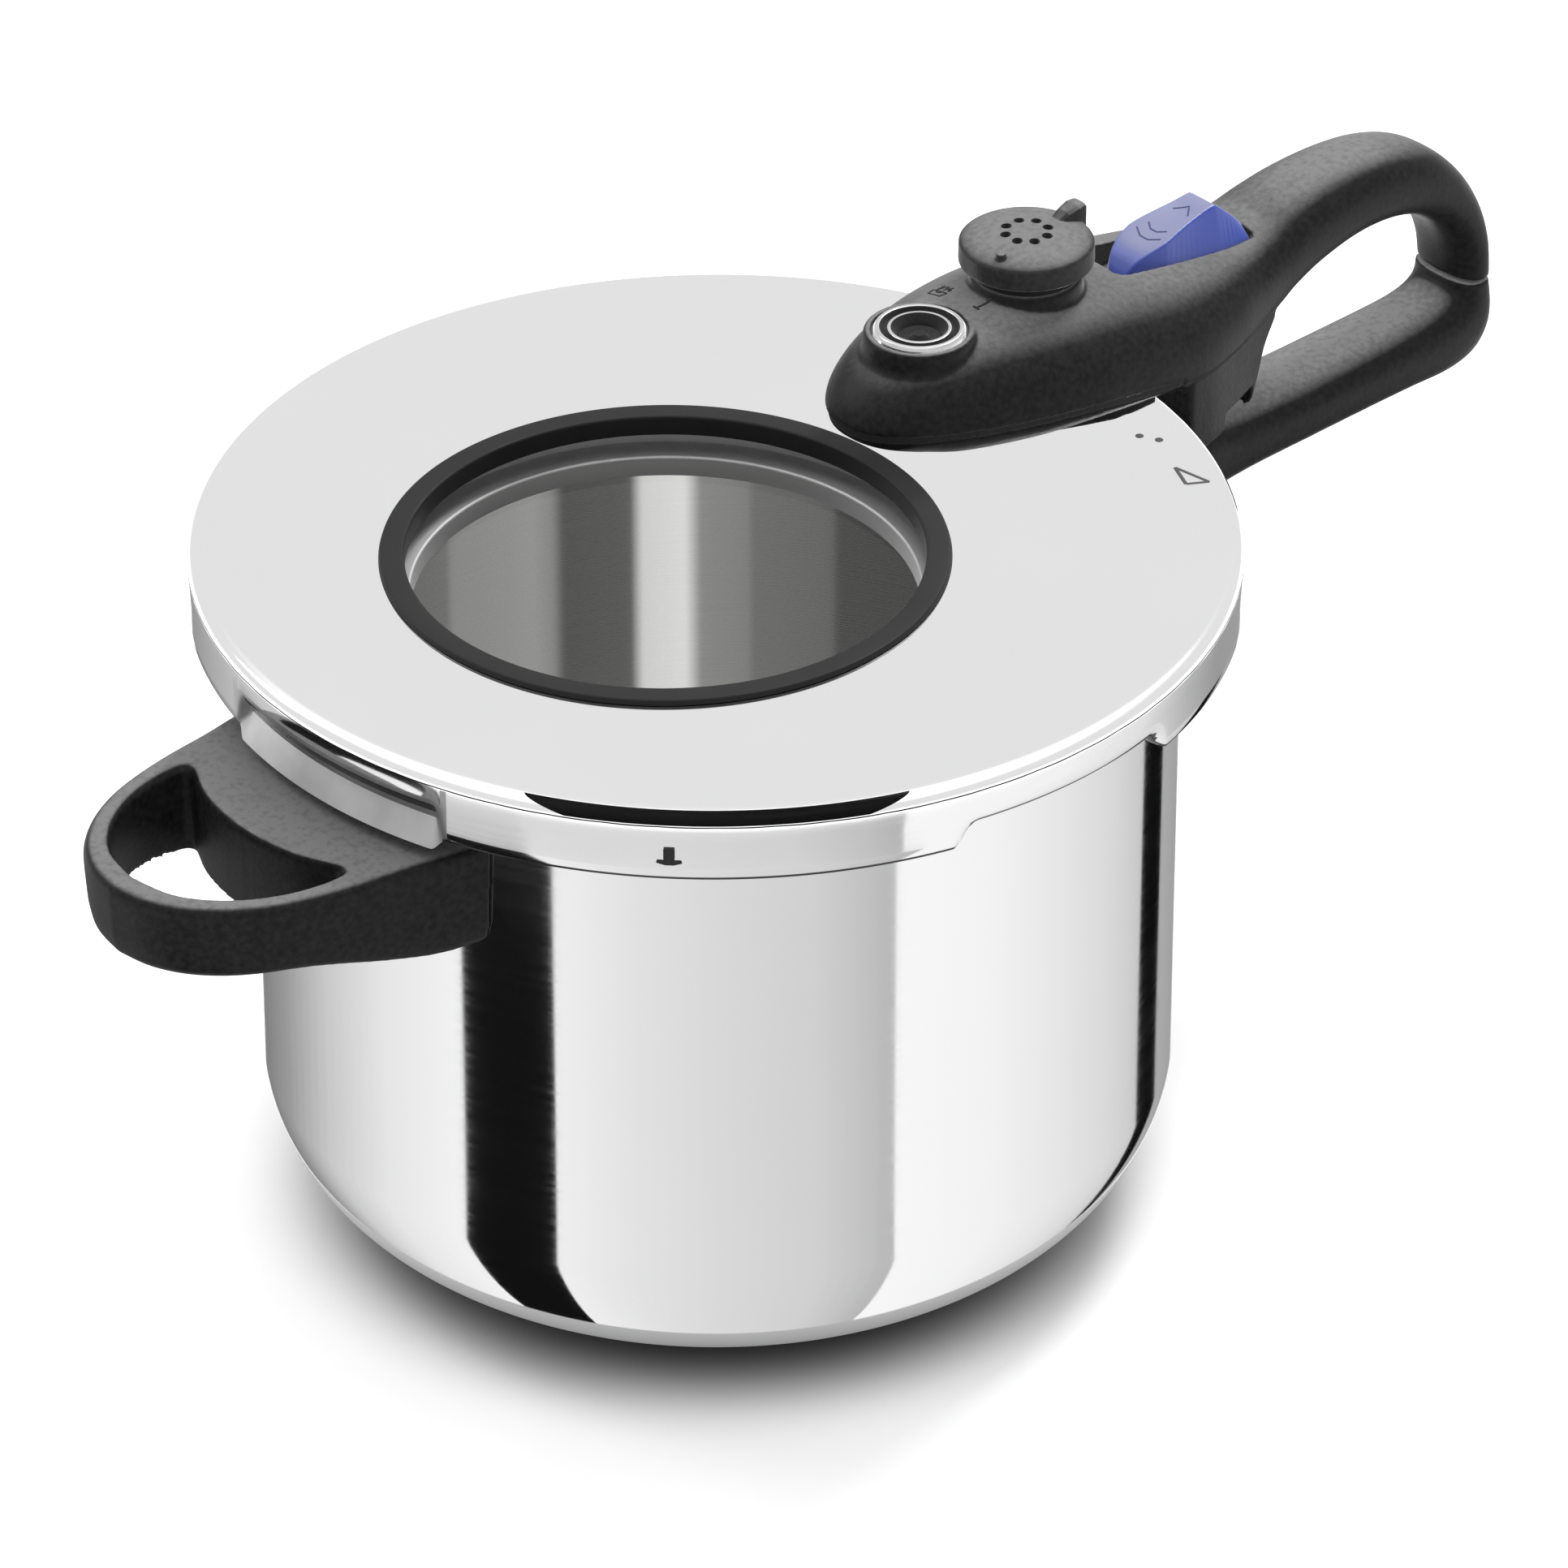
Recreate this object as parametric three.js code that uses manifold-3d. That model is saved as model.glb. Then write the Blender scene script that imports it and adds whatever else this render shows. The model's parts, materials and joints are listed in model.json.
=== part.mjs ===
// Bayonet-lid pressure cooker: pot, turning lid with a window, and long D-loop handle.
// Millimetres, +Z up. The origin is the centre of the base's underside.
// +X points along the long handle.
import * as THREE from 'three';
import { mergeVertices } from 'three/addons/utils/BufferGeometryUtils.js';
import Module from 'manifold-3d';

const wasm = await Module();
wasm.setup();

// Driving dimensions
const GAP = 0.4;                 // clearance between neighbouring pieces
const SHEET = 1.2;               // thickness of the steel sheet
const POT_RADIUS = 110.8;        // outside of the pot wall
const POT_CORNER = 38;           // outer radius where the wall meets the bottom
const SHELL_BOTTOM = 4;          // underside of the pot's bottom, above the base plate
const BASE_RADIUS = 72;
const FLANGE_RADIUS = 117.2;     // bayonet flange of the pot
const FLANGE_UNDER = 168.8;
const FLANGE_TOP = 170.2;
const LID_RADIUS = 125;
const LID_TOP = 179.4;
const LID_EDGE = 3.1;            // rounding between the lid's top and its skirt
const SKIRT_BOTTOM = 162.3;
const LUG_TOP = 168.4;           // folded lugs run just under the flange
const LUG_REACH = 113.5;         // inner radius that the folded lugs reach
const DEEP_LUG_BOTTOM = 157.4;
const TURN_TO_OPEN = 30;         // degrees the lid turns, anticlockwise from above, to come free
const LUG_ANGLES = [0, 90, 182.5, 270];
const LUG_HALF_ANGLE = 15.5;
const LUG_FULL_ANGLE = 11;       // each lug keeps its full shape this far from its middle
const NOTCH_HALF_ANGLE = 16.5;
const WINDOW_X = -15.7;          // the window sits off centre, away from the handle
const WINDOW_HOLE = 62.5;
const WINDOW_RING = 66.9;
const GLASS_TOP = 175.2;
const GLASS_UNDER = 170.7;
const INDICATOR_X = 64.4;
const VALVE_X = 98.8;
const SIDE_VALVE = { x: 81, y: 11 };
const KNOB_RADIUS = 16.4;
const HOUSING_FLOOR = 179.8;
const HOUSING_WALL = 2.6;
const ROOT_FRONT = 127.4;        // where the housing drops down outside the lid's edge
const ROOT_FLOOR = 158.8;
const LOOP_JOINT = 159.3;        // height where the upper and lower handle ends meet
const KEEPER_X = [148.2, 154.4]; // slotted post of the lower handle that the lock bar slides into
const ROUND = 44;                // segments round the pot, lid and seal
const deg = Math.PI / 180;

// ---- geometry helpers ----

// Keep only positions, share the vertices and turn the faces outwards.
function closed(geometry) {
  const bare = geometry.clone();
  bare.deleteAttribute('normal');
  bare.deleteAttribute('uv');
  const merged = mergeVertices(bare, 1e-4);
  const p = merged.attributes.position;
  const index = Array.from(merged.index.array);
  const kept = [];
  let volume = 0;
  const [a, b, c] = [new THREE.Vector3(), new THREE.Vector3(), new THREE.Vector3()];
  for (let i = 0; i < index.length; i += 3) {
    const [ia, ib, ic] = index.slice(i, i + 3);
    if (ia === ib || ib === ic || ia === ic) continue;
    b.fromBufferAttribute(p, ib).cross(c.fromBufferAttribute(p, ic));
    volume += a.fromBufferAttribute(p, ia).dot(b);
    kept.push(ia, ib, ic);
  }
  if (volume < 0) {
    for (let i = 0; i < kept.length; i += 3) [kept[i + 1], kept[i + 2]] = [kept[i + 2], kept[i + 1]];
  }
  merged.setIndex(kept);
  return merged;
}

function solid(geometry) {
  const g = closed(geometry);
  return new wasm.Manifold(new wasm.Mesh({
    numProp: 3,
    vertProperties: new Float32Array(g.attributes.position.array),
    triVerts: new Uint32Array(g.index.array),
  }));
}

function fromSolid(body) {
  const mesh = body.getMesh();
  const g = new THREE.BufferGeometry();
  g.setAttribute('position', new THREE.BufferAttribute(new Float32Array(mesh.vertProperties), 3));
  g.setIndex(new THREE.BufferAttribute(new Uint32Array(mesh.triVerts), 1));
  return g;
}

const cut = (base, ...tools) => fromSolid(tools.reduce((s, t) => s.subtract(solid(t)), solid(base)));
const join = (base, ...others) => fromSolid(others.reduce((s, t) => s.add(solid(t)), solid(base)));
const overlap = (base, tool) => fromSolid(solid(base).intersect(solid(tool)));

// A body of revolution about the Z axis through (x, y); profile is a list of [radius, z].
function turned(profile, segments = 24, x = 0, y = 0) {
  const points = profile.map(([r, z]) => new THREE.Vector2(r, z));
  const onAxis = profile[0][0] === 0 && profile.at(-1)[0] === 0;
  if (!onAxis) points.push(points[0].clone());
  return closed(new THREE.LatheGeometry(points, segments).rotateX(Math.PI / 2)).translate(x, y, 0);
}

function rod(r, z0, z1, x = 0, y = 0, segments = 24) {
  return turned([[0, z0], [r, z0], [r, z1], [0, z1]], segments, x, y);
}
const tube = (r0, r1, z0, z1, x = 0, y = 0, segments = 24) =>
  turned([[r0, z0], [r1, z0], [r1, z1], [r0, z1]], segments, x, y);

function box([x0, x1], [y0, y1], [z0, z1]) {
  return new THREE.BoxGeometry(x1 - x0, y1 - y0, z1 - z0)
    .translate((x0 + x1) / 2, (y0 + y1) / 2, (z0 + z1) / 2);
}

// A flat outline in plan, raised from z0 to z1.
function prism(shape, z0, z1, curveSegments = 12) {
  return closed(new THREE.ExtrudeGeometry(shape, { depth: z1 - z0, bevelEnabled: false, curveSegments })
    .translate(0, 0, z0));
}

// An outline in the XZ plane, spread from y0 to y1.
function sideProfile(points, y0, y1) {
  const shape = new THREE.Shape(points.map(([x, z]) => new THREE.Vector2(x, z)));
  return closed(new THREE.ExtrudeGeometry(shape, { depth: y1 - y0, bevelEnabled: false })
    .rotateX(Math.PI / 2).translate(0, y1, 0));
}

// Part of a ring in plan, between two angles in degrees.
function sector(r0, r1, from, to, z0, z1) {
  const shape = new THREE.Shape();
  shape.absarc(0, 0, r1, from * deg, to * deg, false);
  shape.absarc(0, 0, r0, to * deg, from * deg, true);
  return prism(shape, z0, z1, 10);
}

function arc(cx, cz, r, from, to, steps) {
  return Array.from({ length: steps + 1 }, (_, i) => {
    const a = (from + (to - from) * i / steps) * deg;
    return [cx + r * Math.cos(a), cz + r * Math.sin(a)];
  });
}

// Join a list of equally long rings of points into one skin. Open ends get a flat cap.
function skin(rings, loop = false) {
  const count = rings[0].length;
  const positions = rings.flat().flatMap((p) => [p.x, p.y, p.z]);
  const index = [];
  const last = loop ? rings.length : rings.length - 1;
  for (let i = 0; i < last; i++) {
    const j = (i + 1) % rings.length;
    for (let k = 0; k < count; k++) {
      const m = (k + 1) % count;
      const [a, b, c, d] = [i * count + k, i * count + m, j * count + m, j * count + k];
      index.push(a, b, c, a, c, d);
    }
  }
  if (!loop) {
    const ends = [[rings[0], 0, true], [rings.at(-1), (rings.length - 1) * count, false]];
    for (const [ring, start, flip] of ends) {
      const centre = ring.reduce((s, p) => s.add(p), new THREE.Vector3()).divideScalar(count);
      const hub = positions.length / 3;
      positions.push(centre.x, centre.y, centre.z);
      for (let k = 0; k < count; k++) {
        const m = (k + 1) % count;
        index.push(...(flip ? [start + m, start + k, hub] : [start + k, start + m, hub]));
      }
    }
  }
  const g = new THREE.BufferGeometry();
  g.setAttribute('position', new THREE.Float32BufferAttribute(positions, 3));
  g.setIndex(index);
  return closed(g);
}

// One oval section of a moulding. It spans from the low point to the high point in the XZ plane and
// `half` to each side. The widest line is `girth` of the way up; `crown` and `keel` set how square
// the two halves are (2 is an ellipse).
function oval({ low, high, half, girth = 0.5, crown = 2.3, keel = 2.3 }, count = 20) {
  const wide = [low[0] + (high[0] - low[0]) * girth, low[1] + (high[1] - low[1]) * girth];
  return Array.from({ length: count }, (_, i) => {
    const a = 2 * Math.PI * (i + 0.5) / count;
    const upper = Math.sin(a) >= 0;
    const power = 2 / (upper ? crown : keel);
    const end = upper ? high : low;
    const across = Math.sign(Math.cos(a)) * Math.abs(Math.cos(a)) ** power;
    const along = Math.abs(Math.sin(a)) ** power;
    return new THREE.Vector3(
      wide[0] + (end[0] - wide[0]) * along,
      half * across,
      wide[1] + (end[1] - wide[1]) * along,
    );
  });
}

const moulding = (stations, count) => skin(stations.map((s) => oval(s, count)));

// A wire wound round a vertical axis.
function spring(x, y, coilRadius, wire, z0, z1, turns) {
  class Coil extends THREE.Curve {
    getPoint(t, target = new THREE.Vector3()) {
      const a = t * turns * 2 * Math.PI;
      return target.set(
        x + coilRadius * Math.cos(a),
        y + coilRadius * Math.sin(a),
        z0 + wire + (z1 - z0 - 2 * wire) * t,
      );
    }
  }
  const section = new THREE.Shape();
  section.absarc(0, 0, wire, 0, 2 * Math.PI, false);
  return closed(new THREE.ExtrudeGeometry(section, {
    steps: turns * 8, curveSegments: 3, bevelEnabled: false, extrudePath: new Coil(),
  }));
}

const hexagon = (r, z0, z1, x, y = 0) => rod(r, z0, z1, x, y, 6);

// ---- pot ----

function potBody() {
  const inner = POT_RADIUS - SHEET;
  const centreRadius = POT_RADIUS - POT_CORNER;
  const centreZ = SHELL_BOTTOM + POT_CORNER;
  const shell = turned([
    [0, SHELL_BOTTOM],
    ...arc(centreRadius, centreZ, POT_CORNER, -90, 0, 5),
    [POT_RADIUS, FLANGE_UNDER - 1.2],
    [POT_RADIUS + 1, FLANGE_UNDER],
    [FLANGE_RADIUS, FLANGE_UNDER],
    [FLANGE_RADIUS, FLANGE_TOP],
    [inner + 1.2, FLANGE_TOP],
    [inner, FLANGE_TOP - 1.2],
    ...arc(centreRadius, centreZ, POT_CORNER - SHEET, 0, -90, 5),
    [0, SHELL_BOTTOM + SHEET],
  ], ROUND);
  const notches = LUG_ANGLES.map((lug) => sector(112.3, FLANGE_RADIUS + 3,
    lug + TURN_TO_OPEN - NOTCH_HALF_ANGLE, lug + TURN_TO_OPEN + NOTCH_HALF_ANGLE,
    FLANGE_UNDER - 0.8, FLANGE_TOP + 1));
  return cut(shell, ...notches);
}

function baseCore() {
  return rod(BASE_RADIUS - 1.3, 0.8 + GAP, SHELL_BOTTOM - GAP, 0, 0, ROUND);
}

function baseCap() {
  return turned([
    [0, 0], [BASE_RADIUS - 1, 0], [BASE_RADIUS, 1], [BASE_RADIUS, SHELL_BOTTOM - GAP],
    [BASE_RADIUS - 0.9, SHELL_BOTTOM - GAP], [BASE_RADIUS - 0.9, 0.8], [0, 0.8],
  ], ROUND);
}

// Steel plate bent to the wall, with an outward tongue that a handle is screwed to.
function wallBracket(direction, halfAngle, tongue, z) {
  const plate = sector(POT_RADIUS + GAP, POT_RADIUS + GAP + 1.6, -halfAngle, halfAngle, z - 7, z + 7);
  const shelf = box([POT_RADIUS + GAP + 0.4, POT_RADIUS + tongue], [-7, 7], [z - 1, z + 1]);
  const hole = rod(2.3, z - 3, z + 3, POT_RADIUS + tongue - 7);
  return cut(join(plate, shelf), hole).rotateZ(direction * deg);
}

const LOWER_Z = 143;
const LOWER_TONGUE = 24;
const SIDE_Z = 144;
const SIDE_TONGUE = 20;

// Room for a bracket, grown by the clearance all round.
function bracketPocket(halfAngle, tongue, z) {
  const reach = halfAngle + 0.6;
  const plate = sector(POT_RADIUS - 2, POT_RADIUS + 2.6, -reach, reach, z - 7.6, z + 7.6);
  const shelf = box([POT_RADIUS, POT_RADIUS + tongue + 0.6], [-7.6, 7.6], [z - 1.5, z + 1.5]);
  return join(plate, shelf);
}

function screw(x, zHead, zTip, radius = 1.9, headRadius = 3.8) {
  return turned([[0, zHead], [headRadius, zHead], [headRadius, zHead + 2.2], [radius, zHead + 2.2],
    [radius, zTip], [0, zTip]], 16, x);
}

const LOWER_STATIONS = [
  { low: [106, 131], high: [106, 155.2], half: 20.5, crown: 5, keel: 5 },
  { low: [118, 131.8], high: [118, 155.4], half: 19, crown: 5, keel: 5 },
  { low: [132, 133.4], high: [132, 155.4], half: 17, crown: 4, keel: 4 },
  { low: [148, 134.6], high: [148, 154.4], half: 15.2, crown: 3.2, keel: 3.2 },
  { low: [164, 135.2], high: [164, 153], half: 14, crown: 2.6, keel: 2.8 },
  { low: [184, 135.4], high: [184, 152.4], half: 13.2, crown: 2.4, keel: 2.8 },
  { low: [204, 135.6], high: [204, 152.9], half: 12.8, crown: 2.4, keel: 2.8 },
  { low: [222, 135], high: [219, 153.6], half: 12.5, crown: 2.4, keel: 2.8 },
  { low: [237, 133.6], high: [229, 154.4], half: 12.2, crown: 2.4, keel: 2.8 },
  { low: [246, 134.6], high: [235, 155.4], half: 11.9, crown: 2.4, keel: 2.8 },
  { low: [250.4, 140.4], high: [238, 156.6], half: 11.6, crown: 2.4, keel: 2.8 },
  { low: [251, 149.4], high: [239, 157.8], half: 11.3, crown: 2.4, keel: 2.8 },
  { low: [249.6, LOOP_JOINT - 0.4], high: [239, LOOP_JOINT - 0.4], half: 11, crown: 2.4, keel: 2.8 },
];

function lowerHandle() {
  const post = box(KEEPER_X, [-7, 7], [150, 165.2]);
  const body = join(moulding(LOWER_STATIONS), post);
  const wall = rod(POT_RADIUS + GAP, 110, 175, 0, 0, 90);
  const boltSlot = box([KEEPER_X[0] - 2, KEEPER_X[1] + 2], [-3, 3], [158.6, 170]);
  const screwX = POT_RADIUS + LOWER_TONGUE - 7;
  return cut(body, wall, boltSlot, bracketPocket(9, LOWER_TONGUE, LOWER_Z),
    rod(2.3, 120, 152, screwX), rod(4.2, 120, 136.4, screwX));
}

const SIDE_TOP = 155.8;
const SIDE_BOTTOM = 127.4;       // at the pot; the underside rises by SIDE_RISE further out
const SIDE_RISE = 9;
const SIDE_RUN = 46;
const SIDE_LEAN = -1;            // degrees the handle is turned off the line through the pot's axis

// Plan of the side handle, drawn pointing along +X and turned round afterwards.
function sideHandlePlan(inset = 0) {
  const side = [
    [100, 43.4], [121, 38.8], [134.5, 37.4], [149, 35], [163.5, 28.6], [174.6, 18], [180.4, 6.6],
  ];
  const edge = side.map(([x, y]) => [x - inset * (x > 150 ? 1 : 0), y - inset]);
  return [...edge, ...edge.toReversed().map(([x, y]) => [x, -y])];
}

function sideHandle() {
  const ring = (inset, z, rise) => sideHandlePlan(inset).map(([x, y]) => {
    const outward = THREE.MathUtils.clamp((x - POT_RADIUS) / SIDE_RUN, 0, 1);
    return new THREE.Vector3(x, y, z + rise * outward);
  });
  const body = skin([ring(3.4, SIDE_BOTTOM, SIDE_RISE), ring(1, SIDE_BOTTOM + 2, SIDE_RISE),
    ring(0, SIDE_TOP - 2.4, 0), ring(0.6, SIDE_TOP - 0.7, 0), ring(2, SIDE_TOP, 0)]);
  const half = [
    [143, 5], [140.8, 15.6], [137.2, 24.6], [135.6, 27.4], [138.6, 29],
    [147.8, 28], [156.8, 24.6], [165.2, 18.6], [171, 11], [173.4, 3.6],
  ];
  const hole = new THREE.Shape([...half, ...half.toReversed().map(([x, y]) => [x, -y])]
    .map(([x, y]) => new THREE.Vector2(x, y)));
  const wall = rod(POT_RADIUS + GAP, 110, 175, 0, 0, 90);
  const screwX = POT_RADIUS + SIDE_TONGUE - 7;
  return cut(body, wall, prism(hole, 120, 170), bracketPocket(12, SIDE_TONGUE, SIDE_Z),
    rod(2.3, 120, 152, screwX), rod(4.2, 120, 138.4, screwX)).rotateZ((180 + SIDE_LEAN) * deg);
}

// ---- seal ----

function sealRing() {
  return turned([
    [119.2, 170.6], [122.3, 173.4], [122.3, 175.4], [120.6, 177.8], [110.4, 177.8], [108.8, 176.7],
    [118, 174.2], [108.8, 171.7], [110.4, 170.6],
  ], ROUND);
}

// ---- lid ----

// Section of the lid's rim: three shapes of skirt with matching points, [radius, z], outside first.
const PLAIN_SKIRT = [
  [LID_RADIUS, 171.8], [LID_RADIUS, 167], [LID_RADIUS, 164.4], [LID_RADIUS, SKIRT_BOTTOM],
  [LID_RADIUS - SHEET, SKIRT_BOTTOM], [LID_RADIUS - SHEET, 164.4], [LID_RADIUS - SHEET, 167],
  [LID_RADIUS - SHEET, 171.8],
];
const FOLDED_LUG = [
  [LID_RADIUS, 171.8], [LID_RADIUS, 169.8], [123, LUG_TOP - SHEET], [LUG_REACH, LUG_TOP - SHEET],
  [LUG_REACH, LUG_TOP], [122.2, LUG_TOP], [LID_RADIUS - SHEET, 170], [LID_RADIUS - SHEET, 171.8],
];
const DEEP_LUG = [
  [LID_RADIUS, 171.8], [117, 166.7], [119.2, 163.2], [125.2, DEEP_LUG_BOTTOM],
  [124.2, DEEP_LUG_BOTTOM - 0.2], [117.9, 162.9], [115.6, 166.4], [LID_RADIUS - SHEET, 172.6],
];
// Angles that shape one quarter of the rim, measured from the middle of its lug.
const RIM_STEPS = [-43, -34, -24, -15.5, -13.2, -11, -4, 4, 11, 13.2, 15.5, 24, 34];
const LUG_SHAPES = [FOLDED_LUG, FOLDED_LUG, DEEP_LUG, FOLDED_LUG];

function rimSection(offset, lug) {
  const within = LUG_HALF_ANGLE - Math.abs(offset);
  const fade = THREE.MathUtils.smoothstep(within, 0, LUG_HALF_ANGLE - LUG_FULL_ANGLE);
  const skirt = PLAIN_SKIRT.map(([r, z], i) => [r + (lug[i][0] - r) * fade, z + (lug[i][1] - z) * fade]);
  const edge = LID_RADIUS - LID_EDGE;
  return [
    [40, LID_TOP],
    ...arc(edge, LID_TOP - LID_EDGE, LID_EDGE, 90, 0, 2),
    ...skirt,
    ...arc(edge, LID_TOP - LID_EDGE, LID_EDGE - SHEET, 0, 90, 1),
    [40, LID_TOP - SHEET],
  ];
}

function lidShell() {
  const rings = LUG_ANGLES.flatMap((middle, i) => RIM_STEPS.map((offset) => {
    const a = (middle + offset) * deg;
    const section = rimSection(offset, LUG_SHAPES[i]);
    return section.map(([r, z]) => new THREE.Vector3(r * Math.cos(a), r * Math.sin(a), z));
  }));
  const [z0, z1] = [LID_TOP - 4, LID_TOP + 2];
  return cut(skin(rings, true),
    rod(WINDOW_HOLE, z0, z1, WINDOW_X, 0, 36),
    rod(4.5, z0, z1, INDICATOR_X, 0, 20),
    rod(5.5, z0, z1, VALVE_X, 0, 20),
    rod(4.5, z0, z1, SIDE_VALVE.x, SIDE_VALVE.y, 20),
    rod(2.3, z0, z1, SIDE_VALVE.x, -SIDE_VALVE.y, 16));
}

function windowGasket() {
  return turned([
    [61, GLASS_TOP + GAP], [61, 181], [61.7, 181.7], [66.2, 181.7],
    [WINDOW_RING, 181], [WINDOW_RING, LID_TOP + GAP],
    [WINDOW_HOLE - 0.4, LID_TOP + GAP], [WINDOW_HOLE - 0.4, LID_TOP - SHEET - GAP],
    [67.4, LID_TOP - SHEET - GAP], [67.4, GLASS_TOP + GAP],
  ], 36, WINDOW_X);
}

function windowGlass() {
  return rod(67, GLASS_UNDER, GLASS_TOP, WINDOW_X, 0, 36);
}

const STUD_ANGLES = [45, 135, 225, 315];
const STUD_CIRCLE = 70.2;
const studAt = (angle) => [
  WINDOW_X + STUD_CIRCLE * Math.cos(angle * deg),
  STUD_CIRCLE * Math.sin(angle * deg),
];

function windowClampRing() {
  const ring = turned([
    [60, 165], [60, GLASS_UNDER - GAP], [73, GLASS_UNDER - GAP], [73, 169.1], [61.2, 169.1], [61.2, 165],
  ], 36, WINDOW_X);
  const holes = STUD_ANGLES.map((a) => rod(2, 160, 175, ...studAt(a), 12));
  return cut(ring, ...holes);
}

const windowStud = (angle) => rod(1.6, 164.6, LID_TOP - SHEET - GAP, ...studAt(angle), 12);

function windowNut(angle) {
  const [x, y] = studAt(angle);
  return cut(hexagon(3.4, 166.2, 168.7, x, y), rod(2, 160, 175, x, y, 12));
}

// ---- handle housing on the lid ----

// The nose is lifted at its tip like a boat, and its floor reaches the lid further back. The seam with
// the cover runs along the widest line.
const HOUSING_STATIONS = [
  { x: 44.2, half: 4, floor: 188.6, top: 193.6, seam: 191 },
  { x: 45.6, half: 8.6, floor: 186.2, top: 197, seam: 191.2 },
  { x: 49, half: 13.8, floor: 184, top: 201.4, seam: 191.4 },
  { x: 54, half: 18, floor: 182.2, top: 204.8, seam: 191.4 },
  { x: 62, half: 22, floor: 180.8, top: 207.8, seam: 191.2 },
  { x: 72, half: 25.2, floor: 180, top: 209.8, seam: 190.6 },
  { x: 84, half: 28, floor: HOUSING_FLOOR, top: 210.6, seam: 189.9 },
  { x: 98, half: 29.8, floor: HOUSING_FLOOR, top: 210.2, seam: 188.8 },
  { x: 112, half: 30.4, floor: HOUSING_FLOOR, top: 208.4, seam: 186.8 },
  { x: 124, half: 30, floor: HOUSING_FLOOR, top: 206.2, seam: 185 },
  { x: 136, half: 28.2, floor: HOUSING_FLOOR, top: 204, seam: 184.4 },
  { x: 150, half: 23.8, floor: 178.6, top: 202, seam: 186 },
  { x: 161, half: 19.4, floor: 177.4, top: 201, seam: 188 },
].map(({ x, half, floor, top, seam }) => ({
  low: [x, floor], high: [x, top], half, seam, girth: (seam - floor) / (top - floor), crown: 2.3, keel: 2.6,
}));

const ARCH_STATIONS = [
  { low: [168.6, 176.8], high: [171, 201.2], half: 16.4 },
  { low: [176.4, 179.2], high: [181, 203.2], half: 14.6 },
  { low: [186, 182.8], high: [191.6, 205.8], half: 13.5 },
  { low: [199, 186], high: [204, 207], half: 12.8 },
  { low: [212, 187.2], high: [217, 205.2], half: 12.5 },
  { low: [222.4, 185.4], high: [228.6, 200.6], half: 12.2 },
  { low: [230.6, 180], high: [238.2, 192.2], half: 11.9 },
  { low: [236, 173.4], high: [244.8, 181.4], half: 11.6 },
  { low: [238.8, 166.4], high: [248.4, 170.4], half: 11.3 },
  { low: [239.2, LOOP_JOINT + 0.4], high: [249.6, LOOP_JOINT + 0.4], half: 11 },
].map((s) => ({ ...s, crown: 2.4, keel: 2.4 }));

const ROOT_STATIONS = [
  { low: [ROOT_FRONT, ROOT_FLOOR], high: [ROOT_FRONT, 192], half: 28.4 },
  { low: [138, ROOT_FLOOR], high: [138, 192], half: 26.4 },
  { low: [148, ROOT_FLOOR], high: [148, 192], half: 23 },
  { low: [157, ROOT_FLOOR + 0.4], high: [157, 192], half: 19.4 },
  { low: [160, 163.6], high: [160, 191], half: 18 },
  { low: [164, 171.6], high: [164, 190], half: 16.4 },
  { low: [169.4, 176.8], high: [169.4, 189], half: 14.4 },
].map((s) => ({ ...s, crown: 7, keel: 7 }));

// Shrink a section for the hollow inside; the open side is pushed down through the floor.
function inset(station, wall, drop) {
  const { low, high, half } = station;
  return { ...station, low: [low[0], low[1] - drop], high: [high[0], high[1] - wall], half: half - wall };
}

const housingBody = () => moulding([...HOUSING_STATIONS, ...ARCH_STATIONS], 16);

function housingHollow() {
  const nose = moulding(HOUSING_STATIONS.slice(2, 12).map((s) => inset(s, HOUSING_WALL, 9)), 16);
  const fronts = [ROOT_FRONT - 3, 138, 148, 156.6];
  const root = moulding(ROOT_STATIONS.slice(0, 4).map((s, i) => {
    const smaller = inset(s, HOUSING_WALL, 6);
    return { ...smaller, low: [fronts[i], smaller.low[1]], high: [fronts[i], 190] };
  }), 16);
  return join(nose, root);
}

// Everything below the seam line, ahead of the root.
function belowSeam(lift, back) {
  const ahead = HOUSING_STATIONS.filter((s) => s.low[0] < ROOT_FRONT - 4);
  const line = ahead.map((s) => [s.low[0], s.seam + lift]);
  const outline = [[30, 170], [30, line[0][1]], ...line, [back, line.at(-1)[1] - 1], [back, 170]];
  return sideProfile(outline, -50, 50);
}

const SLIDE_X = [128.2, 166];
const SLIDE_HALF = 7.6;
const SLIDE_TRAVEL = 6;
const RECESS_FLOOR = 198.4;

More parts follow.
